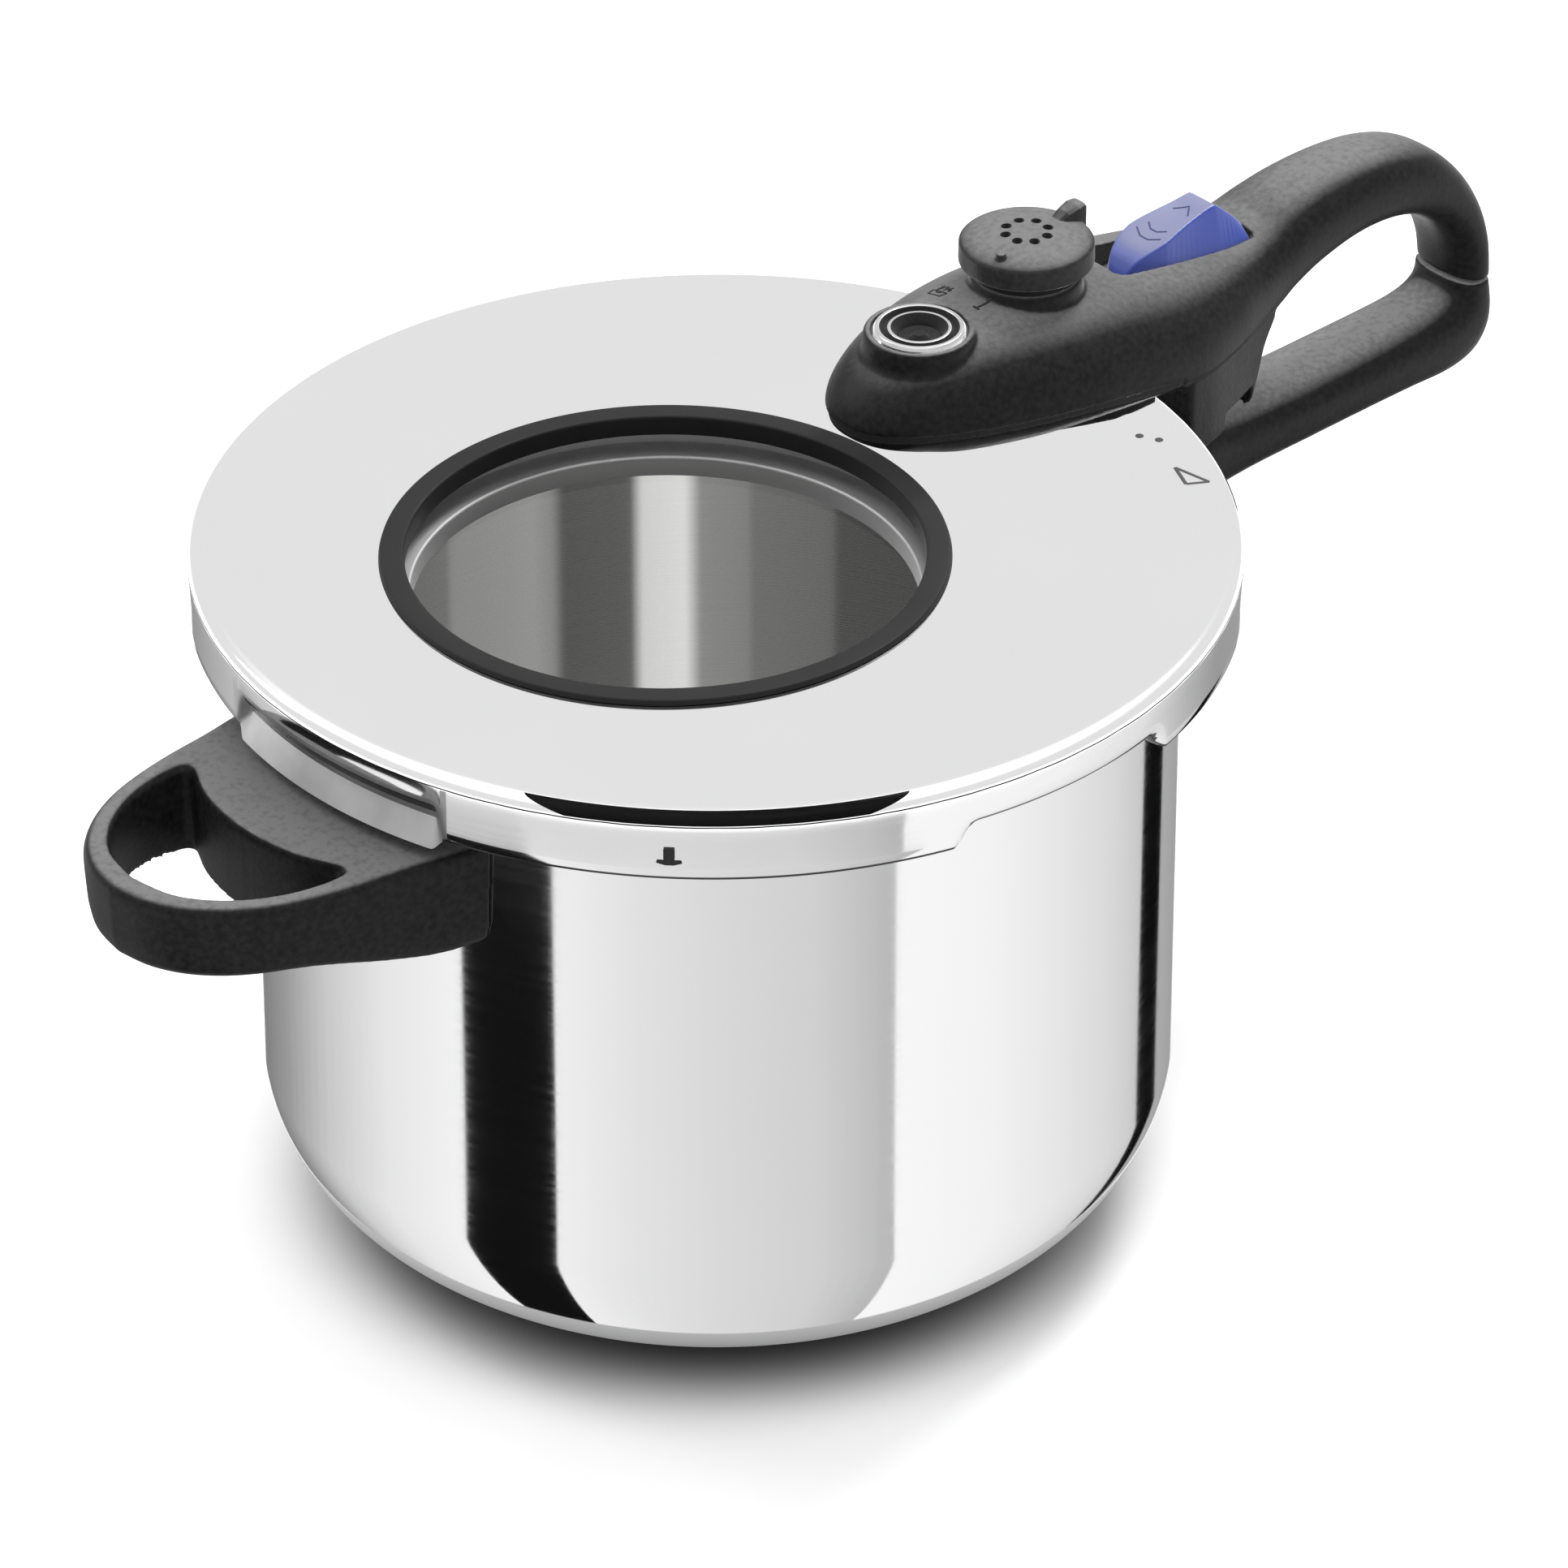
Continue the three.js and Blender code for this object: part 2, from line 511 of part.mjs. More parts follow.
function handleHousing() {
  const outside = join(housingBody(), moulding(ROOT_STATIONS, 16));
  const upper = cut(outside, belowSeam(0, ROOT_FRONT - 3.2),
    box([30, ROOT_FRONT - 0.4], [-50, 50], [150, HOUSING_FLOOR]));
  const shell = cut(upper, housingHollow());
  const bosses = join(
    rod(4.6, 192, 205.6, SIDE_VALVE.x, -SIDE_VALVE.y, 16),
    box([131.5, 142.5], [-6, 6], [174, RECESS_FLOOR - 1]),
    box([SLIDE_X[0] - SLIDE_TRAVEL - 3, SLIDE_X[1] + 2], [-SLIDE_HALF - 3, SLIDE_HALF + 3],
      [RECESS_FLOOR - 2.6, RECESS_FLOOR]),
    tube(10.9, 13.6, 200, 212.6, VALVE_X, 0, 24),
    tube(11.5, 14, 200, 209.9, INDICATOR_X, 0, 24),
  );
  const keeperPath = sector(145.2, 157.8, -35, 4.2, 140, 166.8);
  return cut(join(shell, bosses),
    keeperPath,
    box(
      [SLIDE_X[0] - SLIDE_TRAVEL - 0.6, SLIDE_X[1] + 0.6],
      [-SLIDE_HALF - 0.5, SLIDE_HALF + 0.5],
      [RECESS_FLOOR, 230],
    ),
    box([KEEPER_X[0] - 0.2, KEEPER_X[1] + 3.2], [-3.6, 3.6], [157, 210]),
    rod(10.9, 190, 230, VALVE_X, 0, 24),
    rod(11.5, 195, 230, INDICATOR_X, 0, 24),
    rod(1.5, 180, 200, SIDE_VALVE.x, -SIDE_VALVE.y, 12),
    rod(1.5, 170, 193, 137, 0, 12));
}

function housingCover() {
  const tray = overlap(housingBody(), belowSeam(-GAP, ROOT_FRONT - 3.6));
  const hollow = moulding(HOUSING_STATIONS.slice(3, 12).map((s) => {
    const smaller = inset(s, HOUSING_WALL, 0);
    return { ...smaller, low: [s.low[0], s.low[1] + 1.8] };
  }), 16);
  return cut(tray, overlap(hollow, box([54, ROOT_FRONT - 6.4], [-50, 50], [HOUSING_FLOOR + 1.8, 230])),
    rod(8, 170, 190, INDICATOR_X, 0, 20),
    rod(9.4, 170, 190, VALVE_X, 0, 20),
    rod(7.4, 170, 190, SIDE_VALVE.x, SIDE_VALVE.y, 20),
    rod(2.3, 170, 190, SIDE_VALVE.x, -SIDE_VALVE.y, 16));
}

function lidBracket() {
  const plate = box([LID_RADIUS + GAP, LID_RADIUS + 2], [-9, 9], [170.6, 175.8]);
  const tongue = box([LID_RADIUS + GAP + 0.4, 146], [-9, 9], [170.6, 172.2]);
  return cut(join(plate, tongue), rod(2.3, 165, 180, 137, 0, 16));
}

function rearScrew() {
  return turned([[0, 167.8], [3.6, 167.8], [3.6, 170.2], [1.2, 170.2], [1.2, 190], [0, 190]], 16, 137);
}


function frontScrew() {
  const head = LID_TOP - SHEET - GAP;
  return turned([[0, head - 2.2], [4, head - 2.2], [4, head], [1.2, head], [1.2, 198], [0, 198]], 16,
    SIDE_VALVE.x, -SIDE_VALVE.y);
}

// ---- valves, indicator and knob ----

function valveBody() {
  return turned([
    [1.8, 167], [5, 167], [5, LID_TOP + GAP], [8.4, LID_TOP + GAP], [8.4, 186],
    [5.6, 187.4], [5.6, 203], [4.4, 204.6], [3.2, 204.6], [1.8, 202.4],
  ], 20, VALVE_X);
}

function underLidNut(x, y, bore, radius, top) {
  return cut(hexagon(radius, top - 4, top, x, y), rod(bore, 160, 190, x, y, 20));
}

const washer = (x, y, bore, radius, top) => tube(bore, radius, top - 1.6, top, x, y, 20);

function valvePlunger() {
  return turned([
    [0, 198], [1.4, 198], [1.4, 203.2], [2.6, 205.2], [5.2, 205.4],
    [5.2, 206.8], [2, 206.8], [2, 209], [0, 209],
  ], 16, VALVE_X);
}

const KNOB_BASE = 215.8;
const KNOB_TOP = 223.8;

function controlKnob() {
  const dome = turned([
    [6.6, 208], [9.6, 208], [9.6, KNOB_BASE + 0.6], [KNOB_RADIUS - 1.6, KNOB_BASE + 0.6],
    [KNOB_RADIUS - 0.8, KNOB_BASE], [KNOB_RADIUS, KNOB_BASE + 1.2],
    [KNOB_RADIUS, KNOB_BASE + 4.2], [KNOB_RADIUS - 0.9, KNOB_BASE + 5.2],
    [12, KNOB_TOP - 1.4], [7, KNOB_TOP - 0.3], [0, KNOB_TOP], [0, KNOB_TOP - 3], [6.6, KNOB_TOP - 3.6],
  ], 20, VALVE_X);
  const pointer = sideProfile([[VALVE_X + 9, KNOB_TOP - 3], [VALVE_X + 17.2, KNOB_TOP - 3.6],
    [VALVE_X + 17.4, KNOB_TOP + 2], [VALVE_X + 14.4, KNOB_TOP + 1.4]], -2.4, 2.4);
  const vents = Array.from({ length: 8 }, (_, i) => {
    const a = (i + 0.5) * 45 * deg;
    return rod(1.1, KNOB_TOP - 6, KNOB_TOP + 3, VALVE_X + 4.4 * Math.cos(a), 4.4 * Math.sin(a), 6);
  });
  return cut(join(dome, pointer), ...vents);
}

function knobGuide() {
  return turned([
    [10, 201.4], [10.5, 201.4], [10.5, 213], [13.4, 213], [13.4, 214.4], [10, 214.4],
  ], 24, VALVE_X);
}

function indicatorBody() {
  return turned([
    [2.5, 171.6], [4, 171.6], [4, LID_TOP + GAP], [7, LID_TOP + GAP], [7, 184.6],
    [4.6, 185.6], [4.6, 189], [2.5, 189],
  ], 20, INDICATOR_X);
}

function indicatorCollar() {
  return turned([
    [5.6, 203.4], [10.2, 203.4], [11.1, 204.4], [11.1, 209.8], [10.4, 210.7],
    [8.6, 210.9], [8.1, 210.3], [7.6, 210.3], [7.1, 210.9], [6.2, 210.9], [5.6, 210.3],
  ], 20, INDICATOR_X);
}

function indicatorPin() {
  return turned([
    [0, 167.6], [2, 167.6], [2, 201], [5.1, 203], [5.1, 208.8], [4.4, 209.4], [0, 209.4],
  ], 20, INDICATOR_X);
}

function indicatorSeal() {
  return turned([[0, 164.6], [3.4, 164.6], [4.6, 165.4], [4.6, 167.2], [0, 167.2]], 20, INDICATOR_X);
}

function safetyBody() {
  return turned([
    [1.5, 172], [4, 172], [4, LID_TOP + GAP], [6.8, LID_TOP + GAP], [6.8, 186.4], [5, 188], [1.5, 188],
  ], 20, SIDE_VALVE.x, SIDE_VALVE.y);
}

function safetyCap() {
  return turned([
    [0, 188.4], [6.2, 188.4], [6.2, 190.6], [4.6, 192.2], [0, 192.2],
  ], 20, SIDE_VALVE.x, SIDE_VALVE.y);
}

// ---- lock ----

function lockSlider() {
  const [front, back] = SLIDE_X;
  const profile = [[front, RECESS_FLOOR + GAP], [front, 206.4], [132, 207], [140, 209.2], [148, 210.6],
    [155, 211], [157.6, 210.4], [164, 204.2], [back, 201.4], [back, RECESS_FLOOR + GAP]];
  return sideProfile(profile, -SLIDE_HALF, SLIDE_HALF);
}

// Steel bar under the slider; it enters the slot of the keeper post when the slider is pushed forward.
function lockBar() {
  return box([KEEPER_X[1] + 0.8, KEEPER_X[1] + 2.4], [-2.4, 2.4], [159.4, RECESS_FLOOR]);
}

const skirtStud = () => turned([[0, 0], [2.4, 0], [2.4, 0.5], [1.4, 1], [0, 1]], 14).rotateY(Math.PI / 2)
  .translate(LID_RADIUS + 0.4, 0, 167.6).rotateZ(-136 * deg);

// ---- assembly ----

const finish = (color, roughness, metalness, extra = {}) => ({ color, roughness, metalness, ...extra });
const STEEL = finish(0xd8d8d8, 0.08, 1);
const BRUSHED = finish(0xb8b8b6, 0.3, 1);
const ALUMINIUM = finish(0xc4c6c8, 0.4, 1);
const BLACK = finish(0x232323, 0.55, 0);
const SILICONE = finish(0x8d8f90, 0.6, 0);
const DARK_SEAL = finish(0x1b1b1b, 0.5, 0);
const BLUE = finish(0x2e4fb5, 0.4, 0);
const GLASS = finish(0xdfe8e6, 0.03, 0, { transparent: true, opacity: 0.3 });
const BRASS = finish(0xb99a52, 0.35, 1);

function piece(name, geometry, look) {
  const mesh = new THREE.Mesh(closed(geometry), new THREE.MeshStandardMaterial(look));
  mesh.name = name;
  return mesh;
}

function potGroup() {
  const group = new THREE.Group();
  group.add(
    piece('pot_body', potBody(), STEEL),
    piece('base_core', baseCore(), ALUMINIUM),
    piece('base_cap', baseCap(), BRUSHED),
    piece('lower_bracket', wallBracket(0, 9, LOWER_TONGUE, LOWER_Z), BRUSHED),
    piece('side_bracket', wallBracket(180 + SIDE_LEAN, 12, SIDE_TONGUE, SIDE_Z), BRUSHED),
    piece('lower_handle', lowerHandle(), BLACK),
    piece('lower_handle_screw', screw(POT_RADIUS + LOWER_TONGUE - 7, 133.8, 148), BRUSHED),
    piece('side_handle', sideHandle(), BLACK),
    piece(
      'side_handle_screw',
      screw(POT_RADIUS + SIDE_TONGUE - 7, 135.8, 150).rotateZ((180 + SIDE_LEAN) * deg),
      BRUSHED,
    ),
  );
  return group;
}

function lidGroup() {
  const under = LID_TOP - SHEET - GAP;
  const group = new THREE.Group();
  group.add(
    piece('lid_shell', lidShell(), STEEL),
    piece('window_gasket', windowGasket(), DARK_SEAL),
    piece('window_glass', windowGlass(), GLASS),
    piece('window_clamp_ring', windowClampRing(), BRUSHED),
    ...STUD_ANGLES.flatMap((angle, i) => [
      piece(`window_stud_${i + 1}`, windowStud(angle), BRUSHED),
      piece(`window_nut_${i + 1}`, windowNut(angle), BRUSHED),
    ]),
    piece('handle_housing', handleHousing(), BLACK),
    piece('housing_cover', housingCover(), BLACK),
    piece('lid_bracket', lidBracket(), BRUSHED),
    piece('rear_screw', rearScrew(), BRUSHED),
    piece('front_screw', frontScrew(), BRUSHED),
    piece('valve_body', valveBody(), BRASS),
    piece('valve_washer', washer(VALVE_X, 0, 5.4, 8, under), SILICONE),
    piece('valve_nut', underLidNut(VALVE_X, 0, 5.4, 8, under - 1.6 - GAP), BRUSHED),
    piece('knob_guide', knobGuide(), BRUSHED),
    piece('indicator_body', indicatorBody(), BRUSHED),
    piece('indicator_washer', washer(INDICATOR_X, 0, 4.4, 6, under), SILICONE),
    piece('indicator_nut', underLidNut(INDICATOR_X, 0, 4.4, 6, under - 1.6 - GAP), BRUSHED),
    piece('indicator_collar', indicatorCollar(), STEEL),
    piece('safety_valve_body', safetyBody(), BRUSHED),
    piece('safety_valve_cap', safetyCap(), SILICONE),
    piece('safety_valve_nut', underLidNut(SIDE_VALVE.x, SIDE_VALVE.y, 4.4, 6.6, under), BRUSHED),
    piece('skirt_stud', skirtStud(), STEEL),
  );
  return group;
}

function movingGroup() {
  const group = new THREE.Group();
  group.add(
    piece('seal_ring', sealRing(), SILICONE),
    piece('control_knob', controlKnob(), BLACK),
    piece('valve_plunger', valvePlunger(), BRASS),
    piece('valve_spring', spring(VALVE_X, 0, 4.2, 0.5, 207.2, KNOB_TOP - 4.2, 3), BRUSHED),
    piece('indicator_pin', indicatorPin(), DARK_SEAL),
    piece('indicator_seal', indicatorSeal(), SILICONE),
    piece('indicator_spring', spring(INDICATOR_X, 0, 3.2, 0.5, 189.4, 201, 3), BRUSHED),
    piece('lock_slider', lockSlider(), BLUE),
    piece('lock_bar', lockBar(), BRUSHED),
  );
  return group;
}

const cooker = new THREE.Group();
cooker.add(potGroup(), lidGroup(), movingGroup());

export default cooker;
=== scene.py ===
"""Looks of the bayonet-lid pressure canner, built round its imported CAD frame. Runs inside Blender 4.5.

Shapes are drawn in millimetres in the CAD frame: origin under the base, +Z up, +X along the long handle.
"""

import json
import math

import bmesh
import bpy
from mathutils import Matrix, Vector
from mathutils.bvhtree import BVHTree

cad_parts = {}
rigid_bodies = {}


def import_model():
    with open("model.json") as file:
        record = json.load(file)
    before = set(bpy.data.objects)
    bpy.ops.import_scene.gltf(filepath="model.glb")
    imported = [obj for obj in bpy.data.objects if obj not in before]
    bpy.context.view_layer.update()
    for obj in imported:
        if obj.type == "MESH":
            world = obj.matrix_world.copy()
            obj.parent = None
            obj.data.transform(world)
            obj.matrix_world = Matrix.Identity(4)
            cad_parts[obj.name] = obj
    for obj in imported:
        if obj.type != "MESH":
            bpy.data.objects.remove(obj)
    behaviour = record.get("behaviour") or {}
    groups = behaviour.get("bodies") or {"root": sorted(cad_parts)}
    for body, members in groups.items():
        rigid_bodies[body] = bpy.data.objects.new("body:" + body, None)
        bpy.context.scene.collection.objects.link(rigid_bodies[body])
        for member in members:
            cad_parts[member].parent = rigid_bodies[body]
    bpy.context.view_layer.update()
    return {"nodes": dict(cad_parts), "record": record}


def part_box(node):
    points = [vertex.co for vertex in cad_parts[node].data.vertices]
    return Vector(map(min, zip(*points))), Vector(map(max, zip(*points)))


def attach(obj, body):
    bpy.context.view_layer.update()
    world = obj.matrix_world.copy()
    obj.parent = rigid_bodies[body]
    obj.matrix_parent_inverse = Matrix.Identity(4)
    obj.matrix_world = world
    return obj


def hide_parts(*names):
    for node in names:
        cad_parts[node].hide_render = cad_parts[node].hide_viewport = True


MM = 0.001

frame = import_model()


def span(node):
    """Lowest and highest corner of a CAD node, in millimetres."""
    low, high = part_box(node)
    return [v / MM for v in low], [v / MM for v in high]


def middle(node):
    """Middle of a CAD node in plan."""
    low, high = span(node)
    return (low[0] + high[0]) / 2, (low[1] + high[1]) / 2


# Driving dimensions, read from the CAD frame
POT_LOW, POT_HIGH = span("pot_body")
LID_HIGH = span("lid_shell")[1]
FLANGE_TOP = POT_HIGH[2]
FLANGE_RADIUS = POT_HIGH[0]
SHELL_BOTTOM = POT_LOW[2]
LID_TOP = LID_HIGH[2]
LID_RADIUS = LID_HIGH[1]
GASKET_HIGH = span("window_gasket")[1]
WINDOW_X = middle("window_gasket")[0]
GLASS_LOW, GLASS_HIGH = span("window_glass")
KNOB_LOW, KNOB_HIGH = span("control_knob")
KNOB_X = middle("knob_guide")[0]
KNOB_RADIUS = KNOB_HIGH[1]
RING_LOW, RING_HIGH = span("indicator_collar")
RING_X = middle("indicator_collar")[0]
BASE_RADIUS = span("base_cap")[1][0]
RING_TOP = LID_TOP + 1.4
SLIDER_LOW, SLIDER_HIGH = span("lock_slider")
LOOP_END = span("lower_handle")[1][0]
LOOP_JOINT = 159.3

SHEET = 1.2                     # steel sheet
POT_RADIUS = FLANGE_RADIUS - 6.4
POT_CORNER = 38
LID_EDGE = 3.3                  # rounding between the lid's top and skirt
SKIRT_BOTTOM = LID_TOP - 17.1
SKIRT_TOP = LID_TOP - LID_EDGE
FLANGE_UNDER = FLANGE_TOP - 1.4
LUG_ANGLES = [0, 90, 182.5, 270]
LUG_HALF_ANGLE = 15.5
NOTCH_HALF_ANGLE = 16.5
TURN_TO_OPEN = 30

CAMERA_AZIMUTH = -41            # degrees; the camera stands this far round from the -Y side
CAMERA_ELEVATION = 31.1
CAMERA_DISTANCE = 2337
CAMERA_TILT = 1.463             # the camera looks this much below the lid's centre
CAMERA_PAN = 0.46
CAMERA_LENS = 227.65


# ---- helpers ----

def ease(t):
    """Runs smoothly from 0 to 1 as t does, and stays there beyond."""
    t = min(max(t, 0), 1)
    return t * t * (3 - 2 * t)


def angle_between(a, b):
    """The unsigned difference of two directions, in degrees."""
    return abs((a - b + 180) % 360 - 180)


def new_object(name, data):
    """Puts a mesh, light or camera into the scene."""
    obj = bpy.data.objects.new(name, data)
    bpy.context.collection.objects.link(obj)
    return obj


def new_mesh(name, vertices, faces, smooth=40):
    """An object from points in millimetres, with its faces turned outwards."""
    data = bpy.data.meshes.new(name)
    data.from_pydata([[c * MM for c in v] for v in vertices], [], faces)
    work = bmesh.new()
    work.from_mesh(data)
    bmesh.ops.remove_doubles(work, verts=work.verts, dist=1e-3 * MM)
    bmesh.ops.recalc_face_normals(work, faces=work.faces)
    work.to_mesh(data)
    work.free()
    obj = new_object(name, data)
    soften(obj, smooth)
    return obj


def soften(obj, angle=40):
    """Smooth shading, with edges sharper than angle kept crisp."""
    for face in obj.data.polygons:
        face.use_smooth = True
    work = bmesh.new()
    work.from_mesh(obj.data)
    limit = math.radians(angle)
    for edge in work.edges:
        edge.smooth = len(edge.link_faces) != 2 or edge.calc_face_angle(0) < limit
    work.to_mesh(obj.data)
    work.free()


def apply_modifiers(obj):
    """Bakes the modifiers into the mesh."""
    graph = bpy.context.evaluated_depsgraph_get()
    baked = bpy.data.meshes.new_from_object(obj.evaluated_get(graph))
    old = obj.data
    obj.modifiers.clear()
    obj.data = baked
    bpy.data.meshes.remove(old)


def combine(obj, tools, operation):
    """Cuts tools from obj, adds them to it or keeps what they share, and removes the tools."""
    for tool in tools:
        step = obj.modifiers.new("step", "BOOLEAN")
        step.operation = operation
        step.solver = "EXACT"
        step.object = tool
        apply_modifiers(obj)
        bpy.data.objects.remove(tool)
    return obj


def cut(obj, *tools):
    return combine(obj, tools, "DIFFERENCE")


def join(obj, *tools):
    return combine(obj, tools, "UNION")


def keep(obj, *tools):
    return combine(obj, tools, "INTERSECT")


def melt(obj, cell, passes=6):
    """Rebuilds a body from small cells of that size in millimetres, which rounds every edge a little."""
    step = obj.modifiers.new("melt", "REMESH")
    step.mode = "VOXEL"
    step.voxel_size = cell * MM
    step.use_smooth_shade = True
    calm = obj.modifiers.new("calm", "SMOOTH")
    calm.factor = 0.5
    calm.iterations = passes
    apply_modifiers(obj)
    for face in obj.data.polygons:
        face.use_smooth = True


def merged(name, *objects):
    """One object holding the meshes of several; overlapping ones are fused when it is melted."""
    work = bmesh.new()
    for obj in objects:
        work.from_mesh(obj.data)
    data = bpy.data.meshes.new(name)
    work.to_mesh(data)
    work.free()
    for obj in objects:
        bpy.data.objects.remove(obj)
    return new_object(name, data)


def rounded(corners, steps=5):
    """A closed outline with its corners rounded. Each corner is (across, up) or (across, up, radius)."""
    points = []
    for i, corner in enumerate(corners):
        here = Vector(corner[:2])
        radius = corner[2] if len(corner) > 2 else 0
        if not radius:
            points.append((here.x, here.y))
            continue
        before = Vector(corners[i - 1][:2]) - here
        after = Vector(corners[(i + 1) % len(corners)][:2]) - here
        half = before.angle(after) / 2
        reach = min(radius / math.tan(half), before.length * 0.49, after.length * 0.49)
        start, end = here + before.normalized() * reach, here + after.normalized() * reach
        for k in range(steps + 1):
            t = k / steps
            p = start * (1 - t) ** 2 + here * 2 * t * (1 - t) + end * t ** 2
            points.append((p.x, p.y))
    return points


def arc(cx, cy, radius, start, end, steps):
    """Points on an arc, angles in degrees."""
    angles = [math.radians(start + (end - start) * i / steps) for i in range(steps + 1)]
    return [(cx + radius * math.cos(a), cy + radius * math.sin(a)) for a in angles]


def around(name, section, segments, centre=(0, 0), smooth=40):
    """Sweeps a closed section round a vertical axis. section(degrees) returns [(radius, z), ...]."""
    rings = []
    for i in range(segments):
        degrees = 360 * i / segments
        a = math.radians(degrees)
        rings.append([(centre[0] + r * math.cos(a), centre[1] + r * math.sin(a), z)
                      for r, z in section(degrees)])
    return loft(name, rings, loop=True, smooth=smooth)


def lathe(name, outline, segments, centre=(0, 0)):
    """A body of revolution. Its outline closes on itself."""
    return around(name, lambda degrees: outline, segments, centre)


def rod(name, radius, low, high, centre, segments):
    """A plain upright cylinder used as a cutting tool."""
    return lathe(name, [(0, low), (radius, low), (radius, high), (0, high)], segments, centre)


def loft(name, rings, loop=False, smooth=40):
    """Joins equally long closed rings of points. Open ends are capped."""
    count = len(rings[0])
    vertices = [p for ring in rings for p in ring]
    faces = []
    for i in range(len(rings) if loop else len(rings) - 1):
        a, b = i * count, (i + 1) % len(rings) * count
        for k in range(count):
            m = (k + 1) % count
            faces.append((a + k, a + m, b + m, b + k))
    if not loop:
        faces.append(tuple(range(count)))
        faces.append(tuple((len(rings) - 1) * count + k for k in range(count)))
    return new_mesh(name, vertices, faces, smooth)


def block(name, xs, ys, zs):
    """A plain box used as a cutting tool."""
    corners = [(xs[0], ys[0]), (xs[1], ys[0]), (xs[1], ys[1]), (xs[0], ys[1])]
    return prism(name, corners, *zs)


def prism(name, outline, low, high):
    """A plan outline raised from low to high."""
    return loft(name, [[(x, y, z) for x, y in outline] for z in (low, high)])


def side_profile(name, outline, y0, y1):
    """An outline in the XZ plane, spread from y0 to y1."""
    return loft(name, [[(x, y, z) for x, z in outline] for y in (y0, y1)])


def tablet(low_x, high_x, half, front, back):
    """A plan rectangle centred on the X axis, with corners rounded by front and back."""
    return rounded([(low_x, -half, front), (high_x, -half, back), (high_x, half, back),
                    (low_x, half, front)])


def mirrored(half):
    """A closed outline from its half on the +Y side. Points on the X axis aren't repeated."""
    return half + [(x, -y) for x, y in reversed(half) if y]


def sector(name, inner, outer, start, end, low, high):
    """Part of a ring in plan."""
    outline = arc(0, 0, outer, start, end, 24) + arc(0, 0, inner, end, start, 24)
    return prism(name, outline, low, high)


def smooth_rows(rows, parts):
    """Passes a smooth curve through rows of numbers, with parts steps between each two rows."""
    result = []
    last = len(rows) - 1
    for i in range(last):
        before, here, there, after = rows[max(i - 1, 0)], rows[i], rows[i + 1], rows[min(i + 2, last)]
        for k in range(parts):
            t = k / parts
            row = []
            for p0, p1, p2, p3 in zip(before, here, there, after):
                row.append(0.5 * (2 * p1 + (p2 - p0) * t + (2 * p0 - 5 * p1 + 4 * p2 - p3) * t * t
                                  + (3 * p1 - p0 - 3 * p2 + p3) * t ** 3))
            result.append(row)
    return result + [list(rows[-1])]


def oval(low_x, low_z, high_x, high_z, half, girth, crown, keel, count):
    """One section of a moulding, spanning from a low to a high point in the XZ plane and half to each
    side. girth is how far up its widest line is; crown and keel set how square its halves are."""
    wide_x, wide_z = low_x + (high_x - low_x) * girth, low_z + (high_z - low_z) * girth
    points = []
    for i in range(count):
        a = 2 * math.pi * (i + 0.5) / count
        upper = math.sin(a) >= 0
        power = 2 / (crown if upper else keel)
        end_x, end_z = (high_x, high_z) if upper else (low_x, low_z)
        along = abs(math.sin(a)) ** power
        across = math.copysign(abs(math.cos(a)) ** power, math.cos(a))
        points.append((wide_x + (end_x - wide_x) * along, half * across, wide_z + (end_z - wide_z) * along))
    return points


def moulding(name, stations, parts, count):
    """A moulding through stations of (low x, low z, high x, high z, half, girth, crown, keel)."""
    return loft(name, [oval(*row, count) for row in smooth_rows(stations, parts)])


def shifted(stations, *steps):
    """Stations with a step added to each of their first numbers."""
    return [(*(value + step for value, step in zip(row, steps)), *row[len(steps):]) for row in stations]


def ribbon(name, path, width, height):
    """A low rounded bead along a path of points, for marks moulded on a surface."""
    path = [Vector(p) for p in path]
    rings = []
    for i, here in enumerate(path):
        before = path[max(i - 1, 0)]
        after = path[min(i + 1, len(path) - 1)]
        side = (after - before).cross(Vector((0, 0, 1))).normalized()
        ring = []
        for k in range(10):
            a = 2 * math.pi * k / 10
            ring.append(here + side * width / 2 * math.cos(a) + Vector((0, 0, height * math.sin(a))))
        rings.append(ring)
    return loft(name, rings, smooth=80)


def laid_on(surface, path):
    """Drops a plan path onto a surface from well above it, with closely spaced points."""
    step, above = 0.6, 400
    tree = BVHTree.FromObject(surface, bpy.context.evaluated_depsgraph_get())
    points = []
    for (x0, y0), (x1, y1) in zip(path, path[1:]):
        count = max(1, round(math.hypot(x1 - x0, y1 - y0) / step))
        for i in range(count + (path[-1] == (x1, y1))):
            x, y = x0 + (x1 - x0) * i / count, y0 + (y1 - y0) * i / count
            hit = tree.ray_cast(Vector((x, y, above)) * MM, Vector((0, 0, -1)))[0]
            points.append((x, y, hit.z / MM))
    return points


# ---- materials ----

